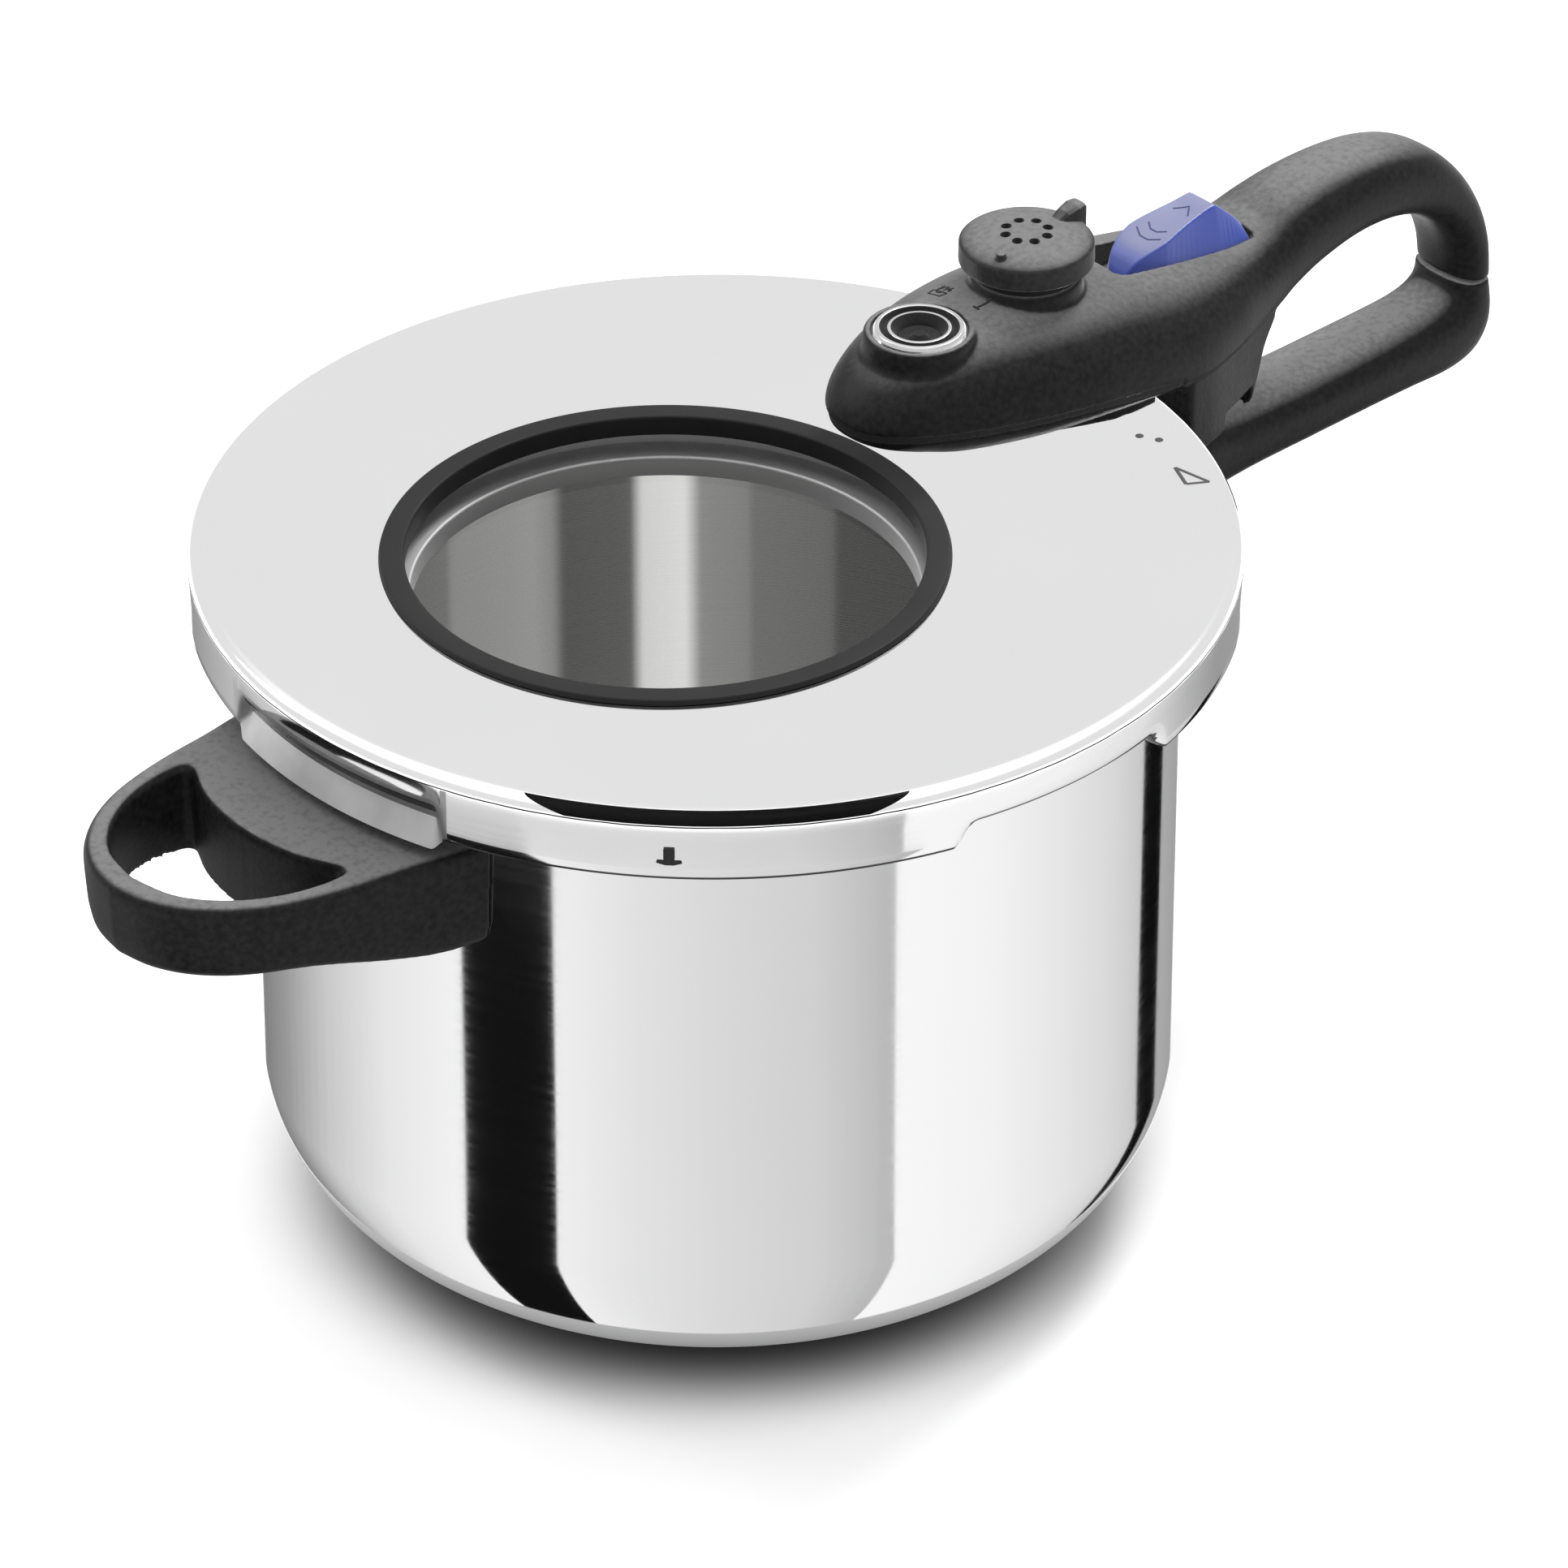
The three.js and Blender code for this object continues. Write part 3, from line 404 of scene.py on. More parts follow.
class Look:
    """A material whose nodes are added one at a time."""

    def __init__(self, name):
        self.material = bpy.data.materials.new(name)
        self.material.use_nodes = True
        self.tree = self.material.node_tree
        self.shader = self.tree.nodes["Principled BSDF"]
        self.place = self.tree.nodes.new("ShaderNodeTexCoord").outputs["Object"]

    def put(self, node, values):
        for key, value in values.items():
            socket = node.inputs[key]
            if isinstance(value, bpy.types.NodeSocket):
                self.tree.links.new(value, socket)
            else:
                socket.default_value = value

    def add(self, kind, values=None, **settings):
        node = self.tree.nodes.new(kind)
        for key, value in settings.items():
            setattr(node, key, value)
        self.put(node, values or {})
        return node

    def math(self, operation, a, b=0.0):
        return self.add("ShaderNodeMath", {0: a, 1: b}, operation=operation).outputs[0]

    def noise(self, scale, place=None, detail=3.0, rough=0.5):
        values = {"Vector": place or self.place, "Scale": scale, "Detail": detail, "Roughness": rough}
        return self.add("ShaderNodeTexNoise", values).outputs["Fac"]

    def stretched(self, x, y, z):
        """The place scaled by a different amount each way, for streaks."""
        return self.add("ShaderNodeMapping", {"Vector": self.place, "Scale": (x, y, z)}).outputs[0]

    def turned(self, along, across, x=0.0, y=0.0):
        """Coordinates round a vertical axis: slow along the turning marks and fast across them."""
        offset = (-x * MM, -y * MM, 0)
        moved = self.add("ShaderNodeMapping", {"Vector": self.place, "Location": offset}).outputs[0]
        parts = self.add("ShaderNodeSeparateXYZ", {0: moved}).outputs
        angle = self.math("ARCTAN2", parts[1], parts[0])
        return self.add("ShaderNodeCombineXYZ", {
            0: self.math("MULTIPLY", angle, along),
            1: self.math("MULTIPLY", self.reach(moved), across),
            2: self.math("MULTIPLY", parts[2], across),
        }).outputs[0]

    def reach(self, place):
        """Distance of a place from the vertical axis."""
        parts = self.add("ShaderNodeSeparateXYZ", {0: place}).outputs
        squares = [self.math("POWER", part, 2.0) for part in parts[:2]]
        return self.math("SQRT", self.math("ADD", *squares))

    def upward(self):
        """How far the surface faces up: 1 on top, 0 on a wall and -1 underneath."""
        normal = self.add("ShaderNodeNewGeometry").outputs["Normal"]
        return self.add("ShaderNodeSeparateXYZ", {0: normal}).outputs[2]

    def between(self, fac, low, high, start=0.3, end=0.7):
        """A number that runs from low to high as fac runs from start to end."""
        node = self.add("ShaderNodeMapRange", {"Value": fac, "From Min": start, "From Max": end,
                                               "To Min": low, "To Max": high})
        return node.outputs[0]

    def tint(self, fac, dark, light):
        """A colour that runs from dark to light as fac runs from 0 to 1."""
        mix = self.add("ShaderNodeMix", {0: fac, 6: (*dark, 1), 7: (*light, 1)}, data_type="RGBA")
        return mix.outputs[2]

    def bump(self, height, strength, distance, normal=None):
        values = {"Height": height, "Strength": strength, "Distance": distance * MM}
        if normal:
            values["Normal"] = normal
        return self.add("ShaderNodeBump", values).outputs[0]

    def finish(self, **values):
        self.put(self.shader, {key.replace("_", " "): value for key, value in values.items()})
        return self.material


def polished_steel():
    """Mirror-polished steel with a faint haze, wiping marks round the axis and a slow ripple."""
    look = Look("polished_steel")
    haze = look.noise(14, detail=5)
    wipes = look.noise(1, look.turned(5, 900), detail=4)
    roughness = look.math("ADD", look.between(haze, 0.045, 0.085), look.between(wipes, 0.0, 0.035))
    ripple = look.bump(look.noise(9, detail=1), 0.02, 0.5)
    return look.finish(Base_Color=look.tint(haze, (0.86, 0.86, 0.865), (0.9, 0.9, 0.9)), Metallic=1.0,
                       Roughness=roughness, Normal=look.bump(wipes, 0.015, 0.02, ripple))


def brushed_wall():
    """The inside of the pot, ground round and round, with soft upright bands of painted reflection in its
    colour.
    """
    look = Look("brushed_wall")
    lines = look.noise(1, look.turned(3, 2600), detail=5, rough=0.7)
    # Painted reflection: slow upright bands of lighter and darker colour round the wall.
    painted_reflection_bands = look.noise(1, look.turned(2.3, 1.5), detail=1)
    tone = look.math("ADD", look.between(painted_reflection_bands, 0.5, 0.7), look.between(lines, -0.06, 0.06))
    color = look.tint(tone, (0.13, 0.13, 0.125), (0.36, 0.36, 0.35))
    round_axis = look.add("ShaderNodeTangent", direction_type="RADIAL", axis="Z").outputs[0]
    return look.finish(Base_Color=color, Metallic=1.0, Roughness=look.between(lines, 0.24, 0.32),
                       Anisotropic=0.9, Tangent=round_axis, Normal=look.bump(lines, 0.08, 0.02))


def satin_steel():
    """Steel with a fine straight grain and a blotchy tone."""
    look = Look("satin_steel")
    grain = look.noise(1, look.stretched(600, 5200, 900), detail=4)
    blotch = look.noise(45, detail=3)
    return look.finish(Base_Color=look.tint(blotch, (0.5, 0.5, 0.49), (0.66, 0.66, 0.65)), Metallic=1.0,
                       Roughness=look.between(grain, 0.24, 0.42), Normal=look.bump(grain, 0.2, 0.02))


def turned_steel(name, x=0.0, y=0.0, dark=0.55, light=0.75, low=0.18, high=0.34):
    """Steel with the fine rings that a lathe leaves round the axis at (x, y)."""
    look = Look(name)
    rings = look.noise(1, look.turned(1.5, 3800, x, y), detail=4)
    return look.finish(Base_Color=look.tint(rings, (dark,) * 3, (light,) * 3), Metallic=1.0,
                       Roughness=look.between(rings, low, high), Normal=look.bump(rings, 0.2, 0.02))


def cast_aluminium():
    """Grey metal with the grain of a sand-blasted casting."""
    look = Look("cast_aluminium")
    grain = look.noise(900, detail=4)
    return look.finish(Base_Color=look.tint(grain, (0.5, 0.5, 0.51), (0.68, 0.68, 0.69)), Metallic=1.0,
                       Roughness=look.between(grain, 0.42, 0.6), Normal=look.bump(grain, 0.3, 0.05))


def turned_brass():
    """Lathe-turned brass, tarnished in patches."""
    look = Look("turned_brass")
    rings = look.noise(1, look.turned(1.5, 3800, KNOB_X), detail=4)
    tarnish = look.noise(130, detail=4)
    return look.finish(Base_Color=look.tint(tarnish, (0.36, 0.25, 0.1), (0.74, 0.57, 0.28)), Metallic=1.0,
                       Roughness=look.between(rings, 0.22, 0.4), Normal=look.bump(rings, 0.2, 0.02))


def black_plastic(name="black_plastic", dark=0.004, light=0.012, low=0.4, high=0.52, shine=0.12,
                  painted_top_tone=0.15):
    """Moulding with a fine spark-eroded grain, slightly uneven sheen, and painted top light: faces that point
    up are painted a lighter grey.
    """
    look = Look(name)
    grain = look.noise(1500, detail=2, rough=0.6)
    sheen = look.noise(22, detail=4)
    speck = look.noise(620, detail=3)
    # Painted light: faces that point up are mixed towards a lighter grey, as if lit from overhead.
    painted_top_light = look.math("POWER", look.between(look.upward(), 0.0, 1.0, 0.76, 1.0), 1.4)
    painted_top_light = look.math("MULTIPLY", painted_top_light, look.between(speck, 0.75, 1.2))
    plain = look.tint(look.between(speck, 0.0, 1.0), (dark,) * 3, (light,) * 3)
    painted_top_gray = (painted_top_tone, painted_top_tone, painted_top_tone, 1)
    color = look.add("ShaderNodeMix", {0: painted_top_light, 6: plain, 7: painted_top_gray}, data_type="RGBA").outputs[2]
    roughness = look.math("ADD", look.between(sheen, low, high), look.between(speck, -0.04, 0.04))
    coarse = look.bump(speck, 0.5, 0.12)
    return look.finish(Base_Color=color, Roughness=roughness, Specular_IOR_Level=shine,
                       Normal=look.bump(grain, 0.8, 0.06, coarse))


def blue_plastic():
    """Satin blue moulding, with painted sheen that makes the faces that point up paler."""
    look = Look("blue_plastic")
    grain = look.noise(2600, detail=2)
    streak = look.noise(60, detail=4)
    # Painted sheen: faces that point up are tinted paler.
    on_top = look.between(look.upward(), 0.0, 0.9, 0.75, 0.97)
    painted_top_tone = look.math("ADD", on_top, look.between(streak, -0.05, 0.05))
    return look.finish(Base_Color=look.tint(painted_top_tone, (0.013, 0.04, 0.3), (0.17, 0.18, 0.29)),
                       Roughness=look.between(streak, 0.38, 0.48), Normal=look.bump(grain, 0.3, 0.03),
                       Coat_Weight=0.25, Coat_Roughness=0.35)


def rubber(name, dark, light, low=0.45, high=0.62, shine=0.5):
    """Moulded rubber or silicone with a cloudy bloom."""
    look = Look(name)
    grain = look.noise(1500, detail=3)
    bloom = look.noise(55, detail=4)
    return look.finish(Base_Color=look.tint(bloom, dark, light), Roughness=look.between(bloom, low, high),
                       Specular_IOR_Level=shine, Normal=look.bump(grain, 0.3, 0.03))


def pressed_steel():
    """Deep-drawn steel, dulled and slightly rippled by the press."""
    look = Look("pressed_steel")
    ripple = look.noise(110, detail=3, rough=0.6)
    cloud = look.noise(60, detail=3)
    return look.finish(Base_Color=look.tint(cloud, (0.26, 0.26, 0.26), (0.6, 0.6, 0.6)), Metallic=1.0,
                       Roughness=look.between(cloud, 0.34, 0.44), Normal=look.bump(ripple, 0.3, 0.5))


def clear_glass():
    """A clear pane: a faint sheen that strengthens towards a glancing view."""
    look = Look("clear_glass")
    smear = look.noise(26, detail=5)
    wave = look.noise(7, detail=1)
    facing = look.add("ShaderNodeLayerWeight", {"Blend": 0.5}).outputs["Facing"]
    head_on, strength = 0.04, 0.35
    glancing = look.math("MULTIPLY", look.math("POWER", facing, 5.0), 1 - head_on)
    shine = look.math("MULTIPLY", look.math("ADD", glancing, head_on), strength)
    return look.finish(Base_Color=(1.0, 1.0, 1.0, 1.0), Metallic=1.0, Alpha=shine,
                       Roughness=look.between(smear, 0.02, 0.05), Normal=look.bump(wave, 0.01, 0.2))


def mark_ink(name, dark, light, roughness):
    """Worn matt ink, also used for shadowed grooves."""
    look = Look(name)
    wear = look.noise(900, detail=4)
    return look.finish(Base_Color=look.tint(wear, dark, light), Roughness=look.between(wear, *roughness))


wall_steel = brushed_wall()
# The last number given to black_plastic is the grey of its painted top light.
cover_plastic = black_plastic("cover_plastic", 0.003, 0.008, 0.5, 0.6, 0.1, 0.02)
pin_plastic = black_plastic("pin_plastic", 0.003, 0.006, 0.6, 0.7)
# Dark steel of the skirt pin, also used as the painted shade of its dimple.
dark_steel = turned_steel("dark_stud_steel_and_dimple_shade", KNOB_X, 0, 0.02, 0.05)
# Matt black used as painted shade in gaps, grooves, undersides and recesses, and as the ink of the housing's
# marks.
shade_and_mark_black = mark_ink("shade_and_mark_ink", (0.001, 0.001, 0.001), (0.003, 0.003, 0.003), (0.85, 0.95))
LOOK_OF_SLOT = {
    "polished_steel": polished_steel(),
    "satin_steel": satin_steel(),
    "base_aluminium": cast_aluminium(),
    "black_plastic": black_plastic(),
    "blue_plastic": blue_plastic(),
    "black_rubber": rubber("black_rubber", (0.004, 0.004, 0.004), (0.009, 0.009, 0.009), 0.5, 0.65, 0.22),
    "grey_silicone": rubber("grey_silicone", (0.27, 0.28, 0.28), (0.36, 0.37, 0.37)),
    "window_glass": clear_glass(),
    "valve_brass": turned_brass(),
}
SLOT_OF_NODE = {part["node"]: part["material_slot"] for part in frame["record"]["subparts"]}


def dress(obj, body, node, look=None):
    """Puts a finished piece in place of the CAD node it stands for."""
    slot = SLOT_OF_NODE[node]
    obj.data.materials.clear()
    obj.data.materials.append(look or LOOK_OF_SLOT[slot])
    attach(obj, body)
    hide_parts(node)
    return obj


def paint_shade_black(obj, chosen):
    """Gives the chosen faces of a piece matt black, as painted shade."""
    obj.data.materials.append(shade_and_mark_black)
    for face in obj.data.polygons:
        if chosen(face):
            face.material_index = len(obj.data.materials) - 1


def trim(obj, body, look):
    """A small detail that has no CAD node of its own, such as a moulded mark."""
    obj.data.materials.append(look)
    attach(obj, body)
    return obj


# ---- pot ----

def pot_body():
    """Drawn shell with a notched flange: polished outside, brushed inside."""
    inner = POT_RADIUS - SHEET
    centre = (POT_RADIUS - POT_CORNER, SHELL_BOTTOM + POT_CORNER)
    outline = [(0, SHELL_BOTTOM)] + arc(*centre, POT_CORNER, -90, 0, 30)
    outline += rounded([(POT_RADIUS, FLANGE_UNDER - 8), (POT_RADIUS, FLANGE_UNDER, 2.2),
                        (FLANGE_RADIUS, FLANGE_UNDER, 0.5), (FLANGE_RADIUS, FLANGE_TOP, 0.5),
                        (inner, FLANGE_TOP, 2), (inner, FLANGE_UNDER - 8)])
    outline += arc(*centre, POT_CORNER - SHEET, 0, -90, 30) + [(0, SHELL_BOTTOM + SHEET)]
    notch_radius = 112.3

    def section(degrees):
        depth = 0
        for lug in LUG_ANGLES:
            away = angle_between(degrees, lug + TURN_TO_OPEN)
            depth = max(depth, ease((NOTCH_HALF_ANGLE - away) / 1.5))
        return [(r + (min(r, notch_radius) - r) * depth, z) for r, z in outline]

    pot = dress(around("pot_shell", section, 480), "pot", "pot_body")
    pot.data.materials.append(wall_steel)
    for face in pot.data.polygons:
        outward = Vector((face.center.x, face.center.y, 0))
        facing_in = face.normal.dot(outward) < 0 or face.normal.z > 0.2
        if facing_in and face.center.z < (FLANGE_UNDER - 2) * MM:
            face.material_index = 1
    return pot


def base_plate():
    """Pressed steel cap over the aluminium core, with stamped rings underneath."""
    underside = [(0, 0.35)]
    for radius in range(14, 62, 12):
        underside += [(radius - 0.9, 0.35), (radius, 0.75), (radius + 0.9, 0.35)]
    outline = rounded(underside + [(62, 0.35), (65, 0), (BASE_RADIUS, 0, 1.4), (BASE_RADIUS, 3.6, 0.3),
                                   (BASE_RADIUS - 0.9, 3.6), (BASE_RADIUS - 0.9, 1.3), (0, 1.3)])
    plate = lathe("base_plate", outline, 240)
    # Painted shade: the cap's steel is given a dark tone, as the contact shadow at the foot.
    return dress(plate, "pot", "base_cap", turned_steel("base_turning_painted_shade", 0, 0, 0.16, 0.26))


def pot_wall_tool():
    """The pot's wall and a small gap, cut from the handles that stand against it."""
    gap = 0.4
    return rod("wall_tool", POT_RADIUS + gap, 100, 180, (0, 0), 240)


def side_grip():
    """Short D-shaped handle with a finger hole, leaning slightly off the pot's centre line."""
    low, high = span("side_handle")
    tip = -low[0] - 0.2
    top = high[2]
    bottom, rise, run = low[2] - 0.2, 8.4, 46
    root = 100
    side = [(root, 43), (112, 41), (124, 38.8), (136, 37.2), (148, 34.6), (158, 31), (167, 25.4),
            (174, 18.2), (tip - 1.8, 9.6), (tip, 0)]
    plan = mirrored(smooth_rows(side, 5))

    def ring(inset, z, lift):
        return [(root + (x - root) * (1 - inset / 80), y * (1 - inset / 40),
                 z + lift * ease((x - POT_RADIUS) / run)) for x, y in plan]

    layers = [(4.6, bottom, rise), (2.4, bottom + 0.7, rise), (1.3, bottom + 2.2, rise),
              (0.6, bottom + 6, rise), (0.1, top - 6, 0), (0, top - 2.6, 0), (0.5, top - 1, 0),
              (1.5, top - 0.2, 0), (2.6, top, 0)]
    body = loft("side_grip", [ring(*layer) for layer in layers])
    half = [(142.6, 0), (142, 8), (140, 17), (136.4, 24.8), (135.4, 27.6), (138, 29.4), (147.4, 28.4),
            (156.6, 25), (165, 19), (170.8, 11), (173.2, 0)]
    outline = mirrored(smooth_rows(half, 5))
    lip = [(156 + (x - 156) * 1.035, y * 1.045) for x, y in outline]
    hole = prism("hole", outline, 120, 170)
    rebate = prism("rebate", lip, top - 1.1, 170)
    cut(body, hole, rebate, pot_wall_tool())
    body.data.transform(Matrix.Rotation(math.radians(179), 4, "Z"))
    melt(body, 0.62, 5)
    return dress(body, "pot", "side_handle")


LOWER_STATIONS = [
    (106, 131, 106, 155.2, 20.5, 0.5, 5, 5),
    (118, 131.8, 118, 155.4, 19, 0.5, 5, 5),
    (132, 133.2, 132, 155.4, 17, 0.5, 4, 4),
    (148, 134.2, 148, 154.4, 15.2, 0.5, 3.2, 3.2),
    (164, 134.8, 164, 153, 14, 0.5, 2.6, 2.8),
    (184, 135, 184, 152.4, 13.2, 0.5, 2.4, 2.8),
    (204, 135.2, 204, 152.9, 12.8, 0.5, 2.4, 2.8),
    (222, 135.2, 219, 153.6, 12.5, 0.5, 2.4, 2.8),
    (236, 135, 228.6, 154.4, 12.2, 0.5, 2.4, 2.8),
    (245, 137.4, 234, 155.4, 11.9, 0.5, 2.4, 2.8),
    (249.6, 143, 237.4, 156.6, 11.6, 0.5, 2.4, 2.8),
    (LOOP_END - 0.2, 150, 238.8, 157.8, 11.3, 0.5, 2.4, 2.8),
    (249.8, LOOP_JOINT - 0.35, 239, LOOP_JOINT - 0.35, 11, 0.5, 2.4, 2.8),
]


def lower_grip():
    """Lower half of the long handle, with the slotted keeper post that catches the lid's handle."""
    body = moulding("lower_grip", LOWER_STATIONS, 8, 72)
    join(body, prism("post", tablet(148.2, 154.4, 7, 0.8, 0.8), 150, 165.2))
    lip = side_profile("lip", [(150, 137.6), (236, 137.8), (236, 138.6), (150, 138.4)], -30, 30)
    core = moulding("core", shifted(LOWER_STATIONS, 0, 0, 0, 0, -0.7), 8, 72)
    groove = cut(lip, core)
    cut(body, pot_wall_tool(), block("slot", (146, 157), (-3, 3), (158.6, 170)), groove)
    melt(body, 0.55, 4)
    # The grip gets a stronger painted top light on its upward faces.
    return dress(body, "pot", "lower_handle", black_plastic("grip_plastic", painted_top_tone=0.26))


# ---- lid ----

# Sections of the skirt as (radius beyond the lid's, height), where it is plain and at the lugs
PLAIN_SKIRT = [(0, 171.8), (0, 169.5), (0, 167), (0, 165), (0, 163.2), (-0.35, 162.4), (-0.9, SKIRT_BOTTOM),
               (-1.2, 162.9), (-1.2, 164.4), (-1.2, 166), (-1.2, 168), (-1.2, 169.6), (-1.2, 171.8)]
FOLDED_LUG = [(0, 171.8), (0, 170.3), (-0.35, 168.9), (-1.1, 167.9), (-2.4, 167.35), (-6, 167.2),
              (-11.5, 167.4), (-11.5, 168.3), (-6, 168.4), (-2.8, 168.5), (-1.7, 169.2), (-1.25, 170.4),
              (-1.2, 171.8)]
DEEP_LUG = [(0, 172.8), (-0.4, 171.2), (-1.2, 169.8), (-2.2, 168.2), (-2.9, 166.2), (-2.2, 163.8),
            (0.1, 159.4), (-0.9, 158.9), (-3.3, 163), (-4.1, 166), (-3.4, 168.6), (-2.4, 170.2),
            (-1.2, 172.8)]
LUG_SHAPES = [FOLDED_LUG, FOLDED_LUG, DEEP_LUG, FOLDED_LUG]


def window_reach(degrees, radius):
    """Distance from the pot's axis to a circle of that radius round the window's centre."""
    along = WINDOW_X * math.cos(math.radians(degrees))
    return along + math.sqrt(along ** 2 - WINDOW_X ** 2 + radius ** 2)


def lid_section(degrees):
    """Section of the pressed lid at one angle, from the window's hole out and down to the skirt's edge."""
    skirt = [(LID_RADIUS + r, z) for r, z in PLAIN_SKIRT]
    for middle, shape in zip(LUG_ANGLES, LUG_SHAPES):
        deep = shape is DEEP_LUG
        reach = LUG_HALF_ANGLE + (1.2 if deep else 0)
        fade = ease((reach - angle_between(degrees, middle)) / (1.7 if deep else 3.2))
        if fade > 0:
            skirt = [(r + (LID_RADIUS + sr - r) * fade, z + (sz - z) * fade)
                     for (r, z), (sr, sz) in zip(skirt, shape)]
    edge = LID_RADIUS - LID_EDGE
    hole = window_reach(degrees, GASKET_HIGH[0] - WINDOW_X - 4.4)
    top = [(hole, LID_TOP - SHEET), (hole, LID_TOP)]
    top += [(hole + (edge - hole) * t, LID_TOP) for t in (0.02, 0.25, 0.5, 0.75, 0.97)]
    under = [(edge - 0.4, LID_TOP - SHEET), (hole + (edge - hole) * 0.5, LID_TOP - SHEET)]
    return (top + arc(edge, LID_TOP - LID_EDGE, LID_EDGE, 90, 0, 10) + skirt
            + arc(edge, LID_TOP - LID_EDGE, LID_EDGE - SHEET, 0, 90, 6) + under)


def lid_shell():
    """Pressed lid, with painted shade on the downward faces of its skirt and the deep lug a little duller
    than the polished top.
    """
    lid = dress(around("lid_sheet", lid_section, 960, smooth=34), "lid", "lid_shell")
    lid.data.materials.append(turned_steel("painted_skirt_shade", 0, 0, 0.03, 0.1))
    lid.data.materials.append(pressed_steel())
    for face in lid.data.polygons:
        place = face.center / MM
        degrees = math.degrees(math.atan2(place.y, place.x))
        # Painted shade: the skirt's downward faces get a dark steel.
        if place.z < SKIRT_TOP and face.normal.z < -0.36:
            face.material_index = 1
        elif place.z < SKIRT_TOP - 2 and angle_between(degrees, LUG_ANGLES[2]) < LUG_HALF_ANGLE + 1.6:
            face.material_index = 2
    return lid


def window_parts():
    """Rubber ring, pane, and the band under them with an upstand round the pane's edge."""
    centre = (WINDOW_X, 0)
    outer = GASKET_HIGH[0] - WINDOW_X
    inner = outer - 6.1
    above, under = LID_TOP + 0.15, LID_TOP - SHEET - 0.15
    bottom, top = GLASS_LOW[2], GLASS_HIGH[2]
    gasket = rounded([(inner, top + 0.4, 0.3), (inner, RING_TOP, 0.8), (outer - 0.4, RING_TOP, 0.7),
                      (outer, above), (outer - 4.6, above), (outer - 4.6, under), (outer + 0.4, under),
                      (outer + 0.4, top + 0.4)])
    dress(lathe("gasket", gasket, 256, centre), "lid", "window_gasket")
    glass = rounded([(0, bottom), (67, bottom, 0.5), (67, top, 0.5), (0, top)])
    dress(lathe("glass", glass, 256, centre), "lid", "window_glass")
    seat, rim = bottom - 0.4, top + 0.3
    clamp = rounded([(60, 165, 0.3), (60, seat, 0.8), (67.3, seat), (67.3, rim), (68.1, rim), (68.1, seat),
                     (73, seat, 0.5), (73, 169.1, 0.5), (61.2, 169.1, 0.8), (61.2, 165, 0.3)])
    dress(lathe("clamp_band", clamp, 256, centre), "lid", "window_clamp_ring",
          turned_steel("clamp_turning", WINDOW_X, 0, 0.42, 0.5, 0.55, 0.65))


def hex_section(bore, across, low, high):
    """Section of a chamfered hexagon nut at each angle."""
    def section(degrees):
        flat = math.radians((degrees + 30) % 60 - 30)
        reach = across * math.cos(math.pi / 6) / math.cos(flat)
        shoulder = min(reach, across * 0.93)
        return [(bore, low + 0.3), (bore + 0.3, low), (shoulder, low), (reach, low + 0.45),
                (reach, high - 0.2), (shoulder, high), (bore, high)]
    return section


def nut(node, bore):
    """Chamfered hexagon nut with a plain bore."""
    low, high = span(node)
    centre = middle(node)
    across = (high[0] - low[0]) / 2
    section = hex_section(bore, across, low[2], high[2])
    body = around(f"{node}_hex", section, 48, centre, smooth=20)
    return dress(body, "lid", node, turned_steel(f"{node}_turning", *centre))


def seal_ring():
    """Silicone ring with two lips that open inwards."""
    high = span("seal_ring")[1]
    outer, top = high[0], high[2]
    outline = rounded([
        (outer - 3.1, 170.6, 1.2), (outer, 173.4, 0.8), (outer, 175.4, 0.8), (outer - 1.7, top, 0.8),
        (110.4, top, 0.7), (108.8, 176.7, 0.5), (118, 174.2, 0.9), (108.8, 171.7, 0.5),
        (110.4, 170.6, 0.7)])
    return dress(lathe("lid_seal", outline, 320), "seal", "seal_ring")


def skirt_stud():
    """Small square-headed pin with a dark arc-shaped sill under it, painted shade standing for a pressed
    dimple in the skirt.
    """
    head = prism("pin_head", tablet(-1.5, 1.5, 1.3, 0.3, 0.3), 0, 0.9)
    # Painted shade: a dark flat sill in the shape of the dimple's shadow under the pin.
    dimple_shade_outline = [(1.7, -2.8, 0.3), (2.6, -3, 0.3), (3.2, -1, 0.8), (3.2, 1, 0.8), (2.6, 3, 0.3),
               (1.7, 2.8, 0.3)]
    dimple_shade = prism("dimple_shade", rounded(dimple_shade_outline), 0, 0.5)
    stud = merged("stud", head, dimple_shade)
    turn = Matrix.Rotation(math.radians(-136), 4, "Z")
    place = Matrix.Translation(Vector((LID_RADIUS - 0.5, 0, 169.4)) * MM)
    stud.data.transform(turn @ place @ Matrix.Rotation(math.pi / 2, 4, "Y"))
    soften(stud)
    return dress(stud, "lid", "skirt_stud", dark_steel)


# ---- handle on the lid ----

# x, half width, floor, top and the height of the seam, which is also the widest line
NOSE = [
    (40, 1.2, 190.6, 192.6, 191.6), (40.5, 4.4, 189.6, 194.4, 191.6), (42, 8, 188.2, 196.8, 191.6),
    (45, 12, 186.6, 200, 191.6), (49, 15.4, 185.2, 203, 191.6), (54.6, 18.6, 183.6, 205.8, 191.5),
    (62, 22, 181.9, 207.8, 191.2), (72, 25.2, 180.8, 209.8, 190.6), (84, 28, 180, 210.6, 189.9),
    (98, 29.8, 179.9, 210.2, 188.8), (112, 30, 179.8, 208.4, 186.8), (124, 29.6, 179.8, 206.2, 185),
    (136, 28, 179.8, 204, 184.4), (150, 23.8, 178.8, 202, 185.6), (161, 19.4, 177.6, 201.2, 187),
]
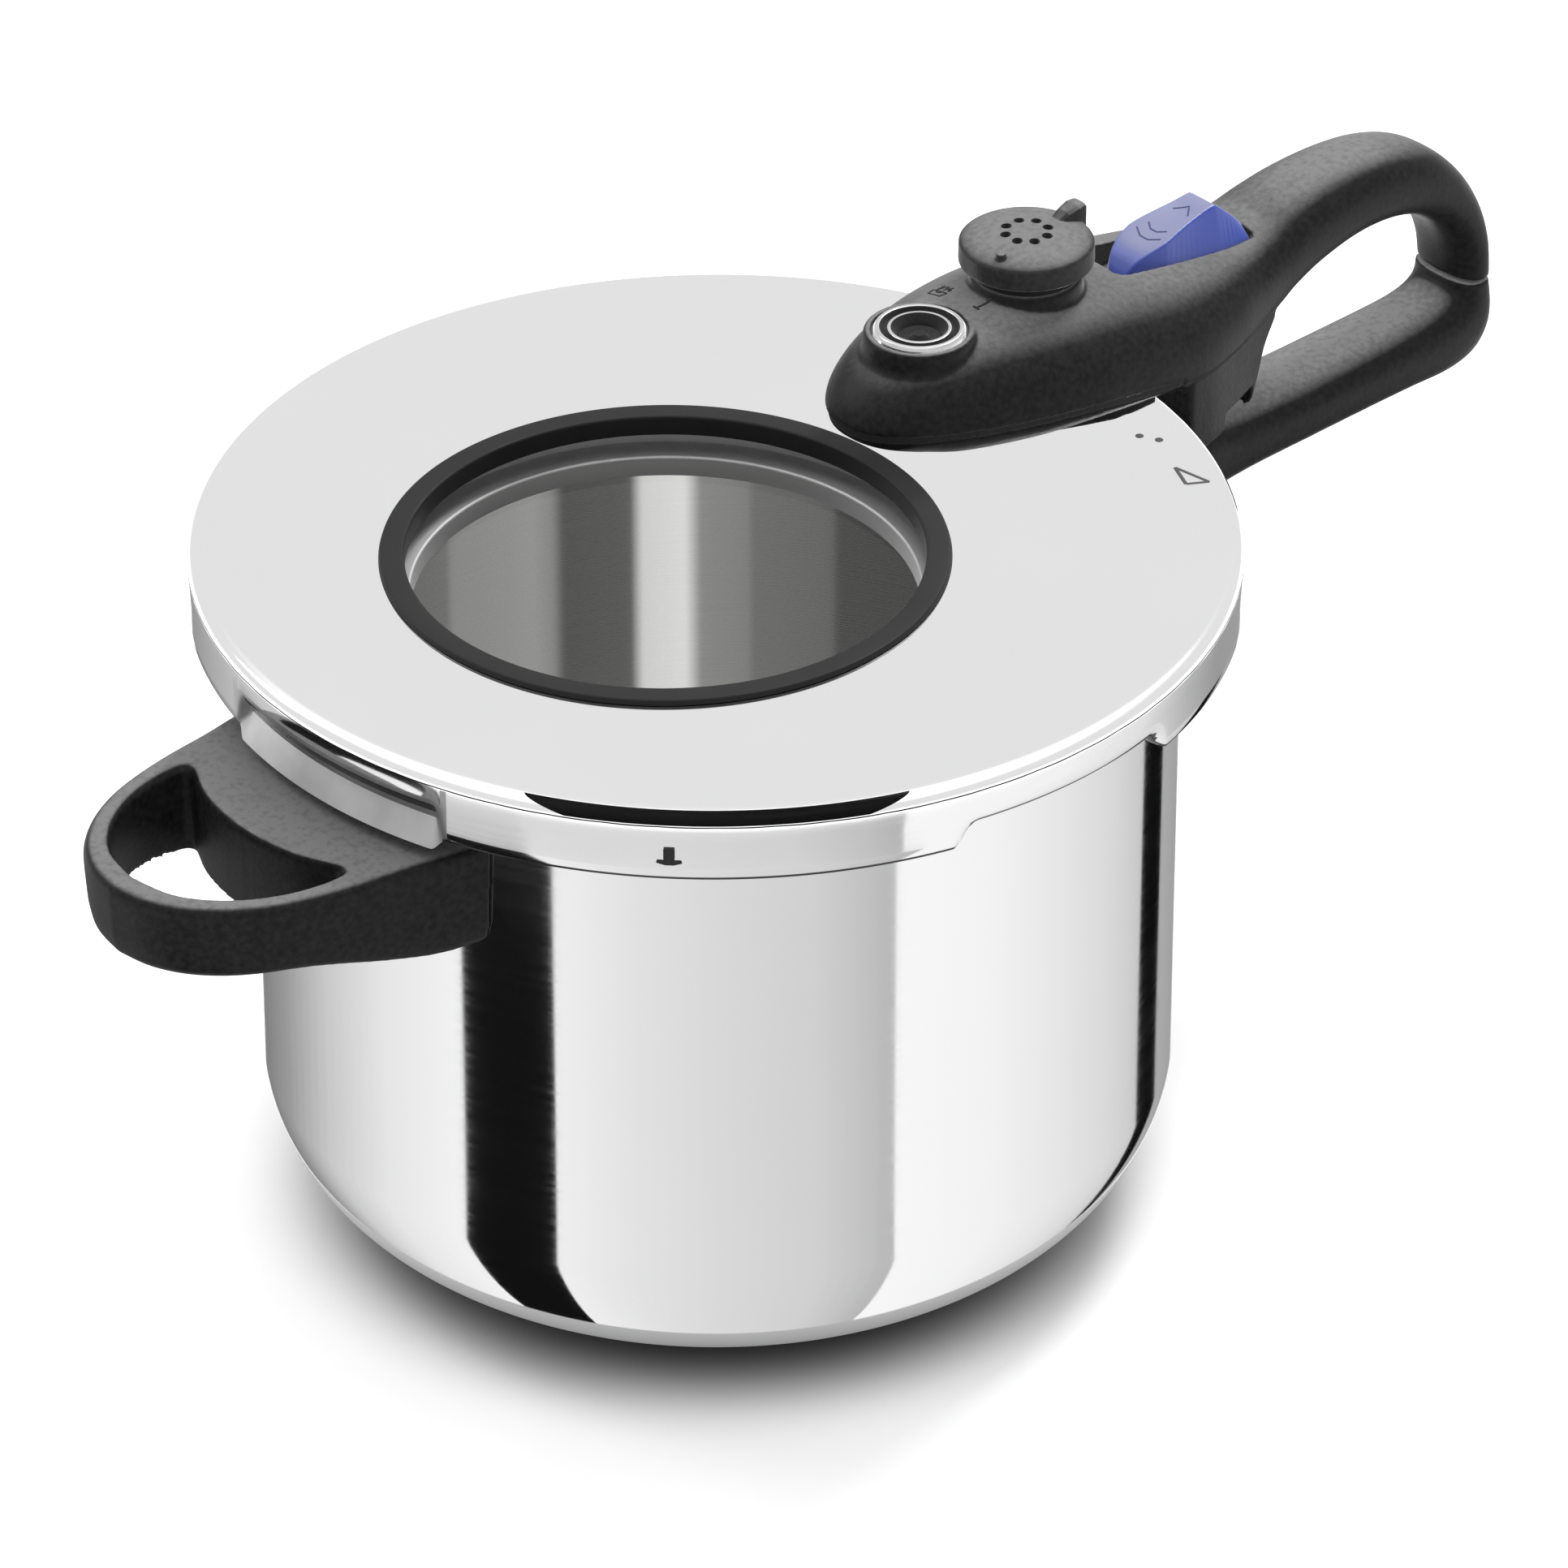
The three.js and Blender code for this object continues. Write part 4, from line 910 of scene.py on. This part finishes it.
HOUSING_STATIONS = [
    (x, low, x, high, half, (seam - low) / (high - low), 2.3, 2.5) for x, half, low, high, seam in NOSE
] + [
    (169.4, 177.2, 171, 202.4, 16.4, 0.46, 2.4, 2.4),
    (177, 179.8, 180, 205, 14.8, 0.5, 2.4, 2.4),
    (187, 183.4, 190, 206.8, 13.8, 0.5, 2.4, 2.4),
    (200, 186.2, 203, 207.3, 13, 0.5, 2.4, 2.4),
    (212, 186.4, 216, 205.8, 12.6, 0.5, 2.4, 2.4),
    (222.6, 184, 228, 201.4, 12.3, 0.5, 2.4, 2.4),
    (230.8, 179, 238, 193.4, 12, 0.5, 2.4, 2.4),
    (236.2, 172.8, 245, 183, 11.7, 0.5, 2.4, 2.4),
    (239, 166.2, 249, 171.6, 11.4, 0.5, 2.4, 2.4),
    (239.8, LOOP_JOINT + 0.35, 250.4, LOOP_JOINT + 0.35, 11, 0.5, 2.4, 2.4),
]
ROOT_STATIONS = [
    (127.4, 158.8, 127.4, 192, 28.6, 0.5, 8, 8), (132, 158.8, 132, 192, 27.8, 0.5, 8, 8),
    (138, 158.8, 138, 192, 26.4, 0.5, 8, 8), (148, 158.8, 148, 192, 23, 0.5, 8, 8),
    (156, 159.2, 156, 192, 19.8, 0.5, 8, 8), (160, 163.6, 160, 191, 18, 0.5, 7, 7),
    (164, 171, 164, 190, 16.2, 0.5, 6, 6), (169.4, 177, 169.4, 189, 14.2, 0.5, 5, 5),
]
ROOT_FRONT = 127.4
RECESS_FLOOR = SLIDER_LOW[2] - 0.4


def below_seam(name, lift, back):
    """All that lies under the seam raised by lift, from before the nose as far as x = back."""
    line = [(row[0], row[4] + lift) for row in smooth_rows(NOSE, 4) if row[0] < back]
    outline = [(30, 150), (30, line[0][1])] + line + [(back, line[-1][1]), (back, 150)]
    return side_profile(name, outline, -60, 60)


def handle_housing():
    """Upper moulding of the handle: nose over the valves, root outside the rim and top of the loop."""
    nose = moulding("nose", HOUSING_STATIONS, 6, 96)
    root = moulding("root", ROOT_STATIONS, 5, 72)
    boss = [(0, 196), (13.9, 196), (13.7, 212), (13.2, 212.6), (0, 212.6)]
    collar = [(0, 196), (14.3, 196), (13.5, 209.2), (12.9, 209.9), (0, 209.9)]
    body = merged("housing", nose, root, lathe("boss", boss, 96, (KNOB_X, 0)),
                  lathe("collar", collar, 96, (RING_X, 0)))
    melt(body, 0.55, 2)
    recess = tablet(SLIDER_LOW[0] - 6.6, SLIDER_HIGH[0] + 0.6, 8.1, 3.4, 1)
    hollow = shifted(ROOT_STATIONS[:1], 2, -8, 2, -16, -2.6)
    hollow += shifted(ROOT_STATIONS[1:5], 0, -8, 0, -16, -2.6)
    pocket = moulding("pocket", hollow, 3, 48)
    cut(body,
        below_seam("under", 0.45, ROOT_FRONT - 3),
        block("gap", (30, ROOT_FRONT - 0.4), (-60, 60), (150, 179.9)),
        prism("recess", recess, RECESS_FLOOR, 230),
        block("bar_slot", (148.4, 157.6), (-3.6, 3.6), (150, 215)),
        sector("keeper_path", 145.2, 157.8, -35, 4.2, 140, 166.8),
        rod("guide_bore", 10.9, 195, 230, (KNOB_X, 0), 96),
        rod("ring_bore", 11.5, 199, 230, (RING_X, 0), 96),
        pocket)
    melt(body, 0.5, 3)
    housing = dress(body, "lid", "handle_housing")
    # Painted shade: the downward faces of the housing ahead of its root are matt black.
    paint_shade_black(housing, lambda face: face.normal.z < -0.25 and face.center.x < ROOT_FRONT * MM)
    return housing


def housing_cover():
    """Lower moulding that closes the nose and rests on the lid."""
    inset = shifted(HOUSING_STATIONS[:6], 0.5, 0, 0, 0, -0.45)
    inset += shifted(HOUSING_STATIONS[6:15], 0, 0, 0, 0, -0.45)
    body = moulding("cover", inset, 6, 96)
    foot_front, foot_back = 66, ROOT_FRONT - 3.4
    edge = [(row[0], row[1] * min(0.86, 0.4 + (row[0] - foot_front) / 90))
            for row in smooth_rows(NOSE, 2) if foot_front < row[0] < foot_back]
    join(body, prism("foot", mirrored(edge), LID_TOP + 0.3, 187))
    keep(body, below_seam("seam", -1.1, ROOT_FRONT - 3.8))
    melt(body, 0.5, 3)
    cover = dress(body, "lid", "housing_cover", cover_plastic)
    # Painted shade: the cover's upward faces, under the housing's overhang, are matt black.
    paint_shade_black(cover, lambda face: face.normal.z > 0.5)
    return cover


def seam_core():
    """Matt black core in the joint between the two mouldings of the housing: painted shade in the seam's gap.
    """
    inset = shifted(HOUSING_STATIONS[1:15], 0.6, 0, 0.6, 0, -0.6)
    core = keep(moulding("core", inset, 6, 96), below_seam("core_top", 1.4, ROOT_FRONT - 3.9))
    cut(core, below_seam("core_floor", -1.4, ROOT_FRONT + 2))
    return trim(core, "lid", shade_and_mark_black)


def knob():
    """Domed steam knob with eight vents, a pointer fin and a dot."""
    low, high = KNOB_LOW[2], KNOB_HIGH[2]
    base = 215.8
    top = 223.8
    dome = [(KNOB_RADIUS * math.sin(math.radians(a)), top - 3.3 + 3.3 * math.cos(math.radians(a)))
            for a in range(84, -1, -6)]
    outline = [(0, low + 8), (6.6, low + 8), (6.6, low), (9.6, low), (9.6, base + 0.7),
               (KNOB_RADIUS - 1.2, base + 0.7), (KNOB_RADIUS - 0.6, base), (KNOB_RADIUS - 0.1, base + 0.2),
               (KNOB_RADIUS, base + 0.8)] + dome
    body = lathe("knob_dome", outline, 160, (KNOB_X, 0))
    stations = [(8.5, 1.6, top - 1.6), (12, 2.3, top + 0.4), (15, 2.7, high - 0.7), (17.2, 2.5, high - 0.6),
                (17.35, 2.3, high - 1.2)]
    rings = []
    for out, half, crest in stations:
        section = [(-1, top - 4), (-1, crest), (-0.5, crest + 0.5), (0.5, crest + 0.5), (1, crest),
                   (1, top - 4)]
        rings.append([(KNOB_X + out, side * half, z) for side, z in section])
    fin = loft("fin", rings)
    dot = lathe("dot", rounded([(0, top - 4), (1.25, top - 4), (1.25, top - 0.1, 0.4), (0, top - 0.1)]), 32,
                (KNOB_X - 12.2, -4.2))
    body = merged("knob", body, fin, dot)
    melt(body, 0.24, 2)
    vents = []
    for i in range(8):
        a = math.radians(45 * i + 22.5)
        centre = (KNOB_X + 5.4 * math.cos(a), 5.4 * math.sin(a))
        vents.append(rod(f"vent_{i}", 1.35, top - 3, top + 5, centre, 24))
    cut(body, *vents)
    soften(body, 50)
    return dress(body, "knob", "control_knob", black_plastic("knob_plastic", 0.014, 0.026, 0.42, 0.55))


def slider():
    """Lock button: a ramp rising to a crest, with a hollowed top for the arrows that slider_marks adds."""
    front, back = SLIDER_LOW[0], SLIDER_HIGH[0]
    half = SLIDER_HIGH[1]
    low, crest = SLIDER_LOW[2], SLIDER_HIGH[2]
    ridge = smooth_rows([(front, low + 1.2), (front + 1.2, low + 3.4), (front + 4, crest - 5.6),
                         (front + 9, crest - 3.4), (front + 16, crest - 1.7), (front + 23, crest - 0.6),
                         (front + 27.6, crest), (front + 29.4, crest - 0.5), (back - 3, crest - 5.2),
                         (back, crest - 8.4)], 4)
    rings = []
    for x, top in ridge:
        width = half * (0.3 + 0.7 * math.sqrt(min(1, (x - front) / 11)))
        hollow = 0.5 * ease((x - front - 3) / 8) * ease((front + 27 - x) / 5)
        slope = 0.6 + 2.6 * ease((x - front - 4) / 24)
        crown = max(0.3, width - slope)
        profile = [(-width, low), (-width, low + 1), (-crown - 0.3, top - 0.4), (-crown, top)]
        profile += [(crown * k / 4, top - hollow * (1 - k * k / 16)) for k in range(-3, 4)]
        profile += [(crown, top), (crown + 0.3, top - 0.4), (width, low + 1), (width, low)]
        rings.append([(x, y, z) for y, z in profile])
    body = loft("lock_button", rings)
    melt(body, 0.3, 4)
    return dress(body, "lock", "lock_slider")


def ring_parts():
    """Pressure indicator's collar and plunger, and the sleeve that the knob turns on."""
    centre = (RING_X, 0)
    top = RING_HIGH[2]
    collar = rounded([
        (5.6, RING_LOW[2]), (10.2, RING_LOW[2]), (11.1, RING_LOW[2] + 1), (11.1, top - 1.1, 0.3),
        (10.6, top - 0.3, 0.3), (9.7, top - 0.3, 0.2), (9.2, top - 1.9, 0.2), (8.2, top - 1.9, 0.2),
        (7.6, top - 0.6, 0.2), (6.8, top - 0.6, 0.2), (5.6, top - 2.4, 0.2)], 4)
    ring = dress(lathe("indicator_ring", collar, 128, centre), "lid", "indicator_collar",
                 turned_steel("ring_turning", RING_X, 0, 0.5, 0.7))

    # Painted shade: the collar's sunk rings and bore are matt black.
    def sunk(face):
        reach = math.hypot(face.center.x / MM - RING_X, face.center.y / MM)
        return reach < 6.9 or 7.7 < reach < 9.6

    paint_shade_black(ring, sunk)
    pin_low, pin_high = span("indicator_pin")
    bottom, tip = pin_low[2], pin_high[2]
    pin = rounded([(0, bottom), (2, bottom), (2, 201, 0.3), (5.1, 203, 0.3), (5.1, tip - 1.4, 0.5),
                   (2.6, tip - 2.2, 0.5), (1.4, tip - 0.8, 0.5), (0, tip - 0.8)])
    # Painted shade: the plunger sitting in the collar's bore is matt black.
    dress(lathe("indicator_plunger", pin, 96, centre), "indicator", "indicator_pin", shade_and_mark_black)
    guide = rounded([(10, 201.4), (10.5, 201.4), (10.5, 213, 0.3), (13.4, 213, 0.3), (13.4, 214.4, 0.4),
                     (10, 214.4, 0.4)])
    dress(lathe("guide_sleeve", guide, 128, (KNOB_X, 0)), "lid", "knob_guide", pin_plastic)


# ---- marks ----

def mark(name, surface, lines, width, height, look, body="lid"):
    """Lines given in plan, raised as thin beads on a surface."""
    for i, line in enumerate(lines):
        trim(ribbon(f"{name}_{i + 1}", laid_on(surface, line), width, height), body, look)


def turned_plan(points, x, y, degrees=0):
    """Plan points turned and moved to (x, y)."""
    c, s = math.cos(math.radians(degrees)), math.sin(math.radians(degrees))
    return [(x + px * c - py * s, y + px * s + py * c) for px, py in points]


def housing_marks(housing):
    """Tick for the closed setting and a steam sign for the venting one, moulded beside the knob."""
    tick = [[(-2.4, 0), (2.4, 0)], [(-2.4, -1), (-2.4, 1)], [(2.4, 0), (1.5, 0.9)]]
    mark("tick_mark", housing, [turned_plan(line, 82.8, -2.5) for line in tick], 0.8, 0.12, shade_and_mark_black)
    pot = [(-2, -1.6), (-2.4, 0.4), (2.4, 0.4), (2, -1.6), (-2, -1.6)]
    puffs = [[(x + 0.5 * math.sin(t * 2.1), 1.2 + t * 0.7) for t in range(4)] for x in (-1.3, 0.2, 1.7)]
    cloud = [(1.6 * math.cos(math.radians(a)), 1.2 + 1.5 * math.sin(math.radians(a)))
             for a in range(20, 340, 40)]
    sign = [turned_plan(line, 80, 10.3, -90) for line in (pot, cloud, *puffs)]
    mark("steam_sign", housing, sign, 0.55, 0.12, shade_and_mark_black)


def lid_marks(lid):
    """Opening triangle and two dots etched on the lid's top."""
    etched = mark_ink("etched_mark", (0.02, 0.02, 0.02), (0.05, 0.05, 0.05), (0.5, 0.7))
    turn = Matrix.Rotation(math.radians(CAMERA_AZIMUTH), 2)
    corners = [turn @ Vector(p) for p in ((109.1, 28.7), (111.6, 20.4), (117.6, 21.5))]
    middle = sum(corners, Vector((0, 0))) / 3
    lines = []
    for a, b in zip(corners, corners[1:] + corners[:1]):
        lines.append([tuple(middle + (a - middle) * 0.92), tuple(middle + (b - middle) * 0.92)])
    mark("open_triangle", lid, lines, 1.0, 0.06, etched)
    for i, spot in enumerate(((101.5, 43.2), (106.1, 41.3))):
        x, y = turn @ Vector(spot)
        disc = lathe(f"lid_dot_{i + 1}", [(0, LID_TOP - 0.1), (1.1, LID_TOP - 0.1), (1.0, LID_TOP + 0.06),
                                          (0, LID_TOP + 0.08)], 32, (x, y))
        trim(disc, "lid", etched)


def slider_marks(button):
    """Two arrows on the lock button: one points back to open, the other forward to lock."""
    arrow = [(-2.6, 2.6), (0.4, 0), (-2.6, -2.6)]
    dark = mark_ink("arrow_mark", (0.01, 0.02, 0.1), (0.015, 0.03, 0.14), (0.5, 0.6))
    front = SLIDER_LOW[0]
    back_arrow = turned_plan(arrow, front + 24, 0)
    bars = [turned_plan(line, front + 11, 0) for line in (
        [(0, 4.2), (-1.6, 1.4), (-1.6, -1.4), (0, -4.2)], [(3, 3.2), (1.6, 1.1), (1.6, -1.1), (3, -3.2)])]
    mark("slider_arrow", button, [back_arrow, *bars], 0.45, 0.16, dark, "lock")


# ---- stage ----

def from_view(vector):
    """A direction given as seen by the main camera (right, away, up), turned into the CAD frame."""
    return Matrix.Rotation(math.radians(CAMERA_AZIMUTH), 3, "Z") @ Vector(vector)


def gray(value):
    """Linear brightness of a display value from 0 to 255."""
    v = value / 255
    return v / 12.92 if v <= 0.04045 else ((v + 0.055) / 1.055) ** 2.4


def glow_card(name, rows, tones):
    """A card that only mirrors see. rows is a grid of points and tones their brightness."""
    count = len(rows[0])
    points = [p for row in rows for p in row]
    faces = []
    for i in range(len(rows) - 1):
        for k in range(count - 1):
            a = i * count + k
            faces.append((a, a + 1, a + count + 1, a + count))
    data = bpy.data.meshes.new(name)
    data.from_pydata([tuple(Vector(p) * MM) for p in points], [], faces)
    layer = data.attributes.new("tone", "FLOAT", "POINT")
    for item, tone in zip(layer.data, [t for row in tones for t in row]):
        item.value = tone
    card = new_object(name, data)
    look = Look(f"{name}_light")
    reading = look.add("ShaderNodeAttribute", attribute_name="tone").outputs["Fac"]
    glow = look.add("ShaderNodeEmission", {"Strength": reading})
    output = look.tree.nodes["Material Output"]
    look.tree.links.new(glow.outputs[0], output.inputs["Surface"])
    data.materials.append(look.material)
    card.visible_camera = False
    card.visible_diffuse = False
    card.visible_shadow = False
    card.visible_transmission = False
    return card


# Brightness that the polished wall mirrors at each angle from the camera's side, in display values
WALL_TONES = [(-82, 120), (-70, 150), (-58, 198), (-46, 228), (-33, 242), (-33, 16), (-20.4, 16),
              (-20.4, 238), (-10, 224), (0, 215), (12, 206), (18, 192), (22.2, 178), (22.2, 246),
              (35, 241), (46, 229), (57, 214), (65.6, 196), (65.6, 8), (72.4, 8), (72.4, 168), (82, 150)]
SKIRT_TONES = [(-82, 140), (-62, 190), (-46, 214), (-34, 200), (-22, 206), (-21, 214), (-8, 213), (8, 206),
               (16, 190), (20.3, 176), (20.3, 246), (40, 240), (52, 222), (62, 176), (70, 150), (82, 150)]
# Brightness that the brushed inner wall mirrors, by the angle round the pot from its far side
INSIDE_TONES = [(-75, 70), (-60, 84), (-48, 112), (-37, 122), (-36, 150), (-24, 165), (-21.5, 150),
                (-20, 92), (-11, 100), (-9.5, 232), (-4, 245), (-2, 150), (4, 138), (5, 118), (15, 110),
                (16, 84), (75, 70)]

POLISHED_SHARE = 0.87           # part of a card's light that polished steel gives back
BRUSHED_SHARE = 1 / 3.05        # the same for the brushed inner wall
WINDOW_SHEEN = 0.04             # brightness that the window adds to what is seen through it


def banded_cards(name, tones, row_at, share, sheen=0.0):
    """A card for each stretch of a table of tones, with the points of row_at(angle) every 2 degrees."""
    cards = []
    for (start, first), (end, last) in zip(tones, tones[1:]):
        if end > start:
            steps = max(1, round((end - start) / 2))
            spots = [k / steps for k in range(steps + 1)]
            rows = [row_at(math.radians(start + (end - start) * t)) for t in spots]
            values = [[(gray(first + (last - first) * t) - sheen) / share] * 2 for t in spots]
            cards.append(glow_card(f"{name}_{len(cards)}", rows, values))
    return cards


def wall_card(name, radius, tones, near, far):
    """A card on the floor, laid out so that an upright steel wall mirrors the given tones."""
    def row_at(a):
        start = Vector((math.sin(a), -math.cos(a), 0)) * radius
        way = Vector((math.sin(2 * a), -math.cos(2 * a), 0))
        return [from_view(start + way * reach) + Vector((0, 0, 0.8)) for reach in (near, far)]

    banded_cards(name, tones, row_at, POLISHED_SHARE)


def inside_card():
    """A curved card just off the far inner wall, which gives the brushed steel its upright bands."""
    radius = POT_RADIUS - SHEET - 1.2

    def row_at(a):
        foot = from_view((radius * math.sin(a), radius * math.cos(a), 0))
        return [foot + Vector((0, 0, z)) for z in (14, 168)]

    for card in banded_cards("inside_card", INSIDE_TONES, row_at, BRUSHED_SHARE, WINDOW_SHEEN):
        card.visible_shadow = True


def foot_card():
    """A grey ring on the floor, which the rounded foot of the pot mirrors."""
    rows = []
    for degrees in range(0, 361, 6):
        a = math.radians(degrees)
        rows.append([(r * math.cos(a), r * math.sin(a), 0.5) for r in (BASE_RADIUS + 1, POT_RADIUS - 3)])
    glow_card("foot_card", rows, [[gray(110), gray(195)]] * len(rows))


def edge_card(name, tilts, half_angle, narrowing, tone):
    """A dark strip just off the lid's rounded edge, mirrored there as a long dark lens or line."""
    gap, side_steps = 0.3, 14
    rows = []
    for tilt in tilts:
        t = math.radians(tilt)
        reach = LID_RADIUS - LID_EDGE + (LID_EDGE + gap) * math.sin(t)
        height = SKIRT_TOP + (LID_EDGE + gap) * math.cos(t)
        row = []
        for k in range(-side_steps, side_steps + 1):
            a = math.radians(half_angle * (1 - narrowing * (1 - math.cos(t))) * k / side_steps)
            row.append(from_view((reach * math.sin(a), -reach * math.cos(a), height)))
        rows.append(row)
    glow_card(name, rows, [[gray(tone)] * len(rows[0])] * len(rows))


def floor():
    """Wide pale floor, with the contact shadow of the photo as a darker ring round the pot's foot."""
    reach, drop = 9000 * MM, 0.4 * MM
    corners = [(-reach, -reach, -drop), (reach, -reach, -drop), (reach, reach, -drop), (-reach, reach, -drop)]
    data = bpy.data.meshes.new("floor")
    data.from_pydata(corners, [], [(0, 1, 2, 3)])
    look = Look("pale_floor")
    fade = {"Value": look.reach(look.place), "From Min": 0.072, "From Max": 0.122}
    shade = look.add("ShaderNodeMapRange", fade, interpolation_type="SMOOTHERSTEP").outputs[0]
    color = look.tint(shade, (0.06, 0.06, 0.06), (0.94, 0.94, 0.94))
    data.materials.append(look.finish(Base_Color=color, Roughness=0.9, Specular_IOR_Level=0.0))
    new_object("floor", data)


def sky():
    """Soft white studio: bright overhead, a little greyer towards the horizon."""
    world = bpy.data.worlds.new("studio")
    bpy.context.scene.world = world
    world.use_nodes = True
    tree = world.node_tree
    background = tree.nodes["Background"]
    place = tree.nodes.new("ShaderNodeTexCoord")
    parts = tree.nodes.new("ShaderNodeSeparateXYZ")
    ramp = tree.nodes.new("ShaderNodeMapRange")
    ramp.interpolation_type = "SMOOTHSTEP"
    tree.links.new(place.outputs["Generated"], parts.inputs[0])
    tree.links.new(parts.outputs[2], ramp.inputs["Value"])
    for key, value in {"From Min": 0.55, "From Max": 0.9, "To Min": 0.86, "To Max": 1.6}.items():
        ramp.inputs[key].default_value = value
    tree.links.new(ramp.outputs[0], background.inputs["Strength"])
    background.inputs["Color"].default_value = (1, 1, 1, 1)


def lamp(name, place, target, size, power):
    """A soft rectangular lamp, placed and aimed as seen by the camera."""
    data = bpy.data.lights.new(name, "AREA")
    data.shape = "RECTANGLE"
    data.size, data.size_y = size
    data.energy = power
    obj = new_object(name, data)
    start, end = from_view(place) * MM, from_view(target) * MM
    obj.location = start
    obj.rotation_euler = (end - start).to_track_quat("-Z", "Y").to_euler()


def camera():
    """The camera that was fitted to the photo."""
    data = bpy.data.cameras.new("camera")
    data.lens = CAMERA_LENS
    data.sensor_width = 36
    data.clip_end = 50
    obj = new_object("camera", data)
    rise = math.radians(CAMERA_ELEVATION)
    place = Vector((0, -CAMERA_DISTANCE * math.cos(rise), LID_TOP + CAMERA_DISTANCE * math.sin(rise)))
    drop = math.radians(CAMERA_ELEVATION + CAMERA_TILT)
    pan = math.radians(CAMERA_PAN)
    look_along = Vector((math.sin(pan) * math.cos(drop), math.cos(pan) * math.cos(drop), -math.sin(drop)))
    obj.location = from_view(place) * MM
    obj.rotation_euler = from_view(look_along).to_track_quat("-Z", "Y").to_euler()
    bpy.context.scene.camera = obj


# ---- assembly ----

for node_name, node in frame["nodes"].items():
    node.data.materials.clear()
    node.data.materials.append(LOOK_OF_SLOT[SLOT_OF_NODE[node_name]])

pot_body()
base_plate()
side_grip()
lower_grip()
lid = lid_shell()
window_parts()
for number in range(1, 5):
    nut(f"window_nut_{number}", 1.8)
nut("valve_nut", 5.2)
nut("indicator_nut", 4.2)
nut("safety_valve_nut", 4.2)
seal_ring()
skirt_stud()
housing = handle_housing()
housing_cover()
seam_core()
knob()
button = slider()
ring_parts()
housing_marks(housing)
lid_marks(lid)
slider_marks(button)

# The studio's light leaves the handle out of its own mirror image on the lid
for piece in bpy.context.scene.objects:
    if piece.type == "MESH" and max(corner[2] for corner in piece.bound_box) > (LID_TOP + 3) * MM:
        piece.visible_glossy = False

floor()
sky()
wall_card("wall_card", POT_RADIUS, WALL_TONES, -8, 262)
wall_card("skirt_card", LID_RADIUS, SKIRT_TONES, 249, 318)
foot_card()
inside_card()
edge_card("edge_lens", range(4, 81, 4), 21, 0.28, 16)
edge_card("edge_line", range(83, 90, 2), 84, 0, 24)
lamp("back_lamp", (700, 900, 1500), (150, 100, 180), (0.5, 0.5), 16)
lamp("left_lamp", (-1300, 500, 1300), (0, 0, 150), (0.5, 0.9), 9)
camera()
bpy.context.scene.view_settings.view_transform = "Standard"
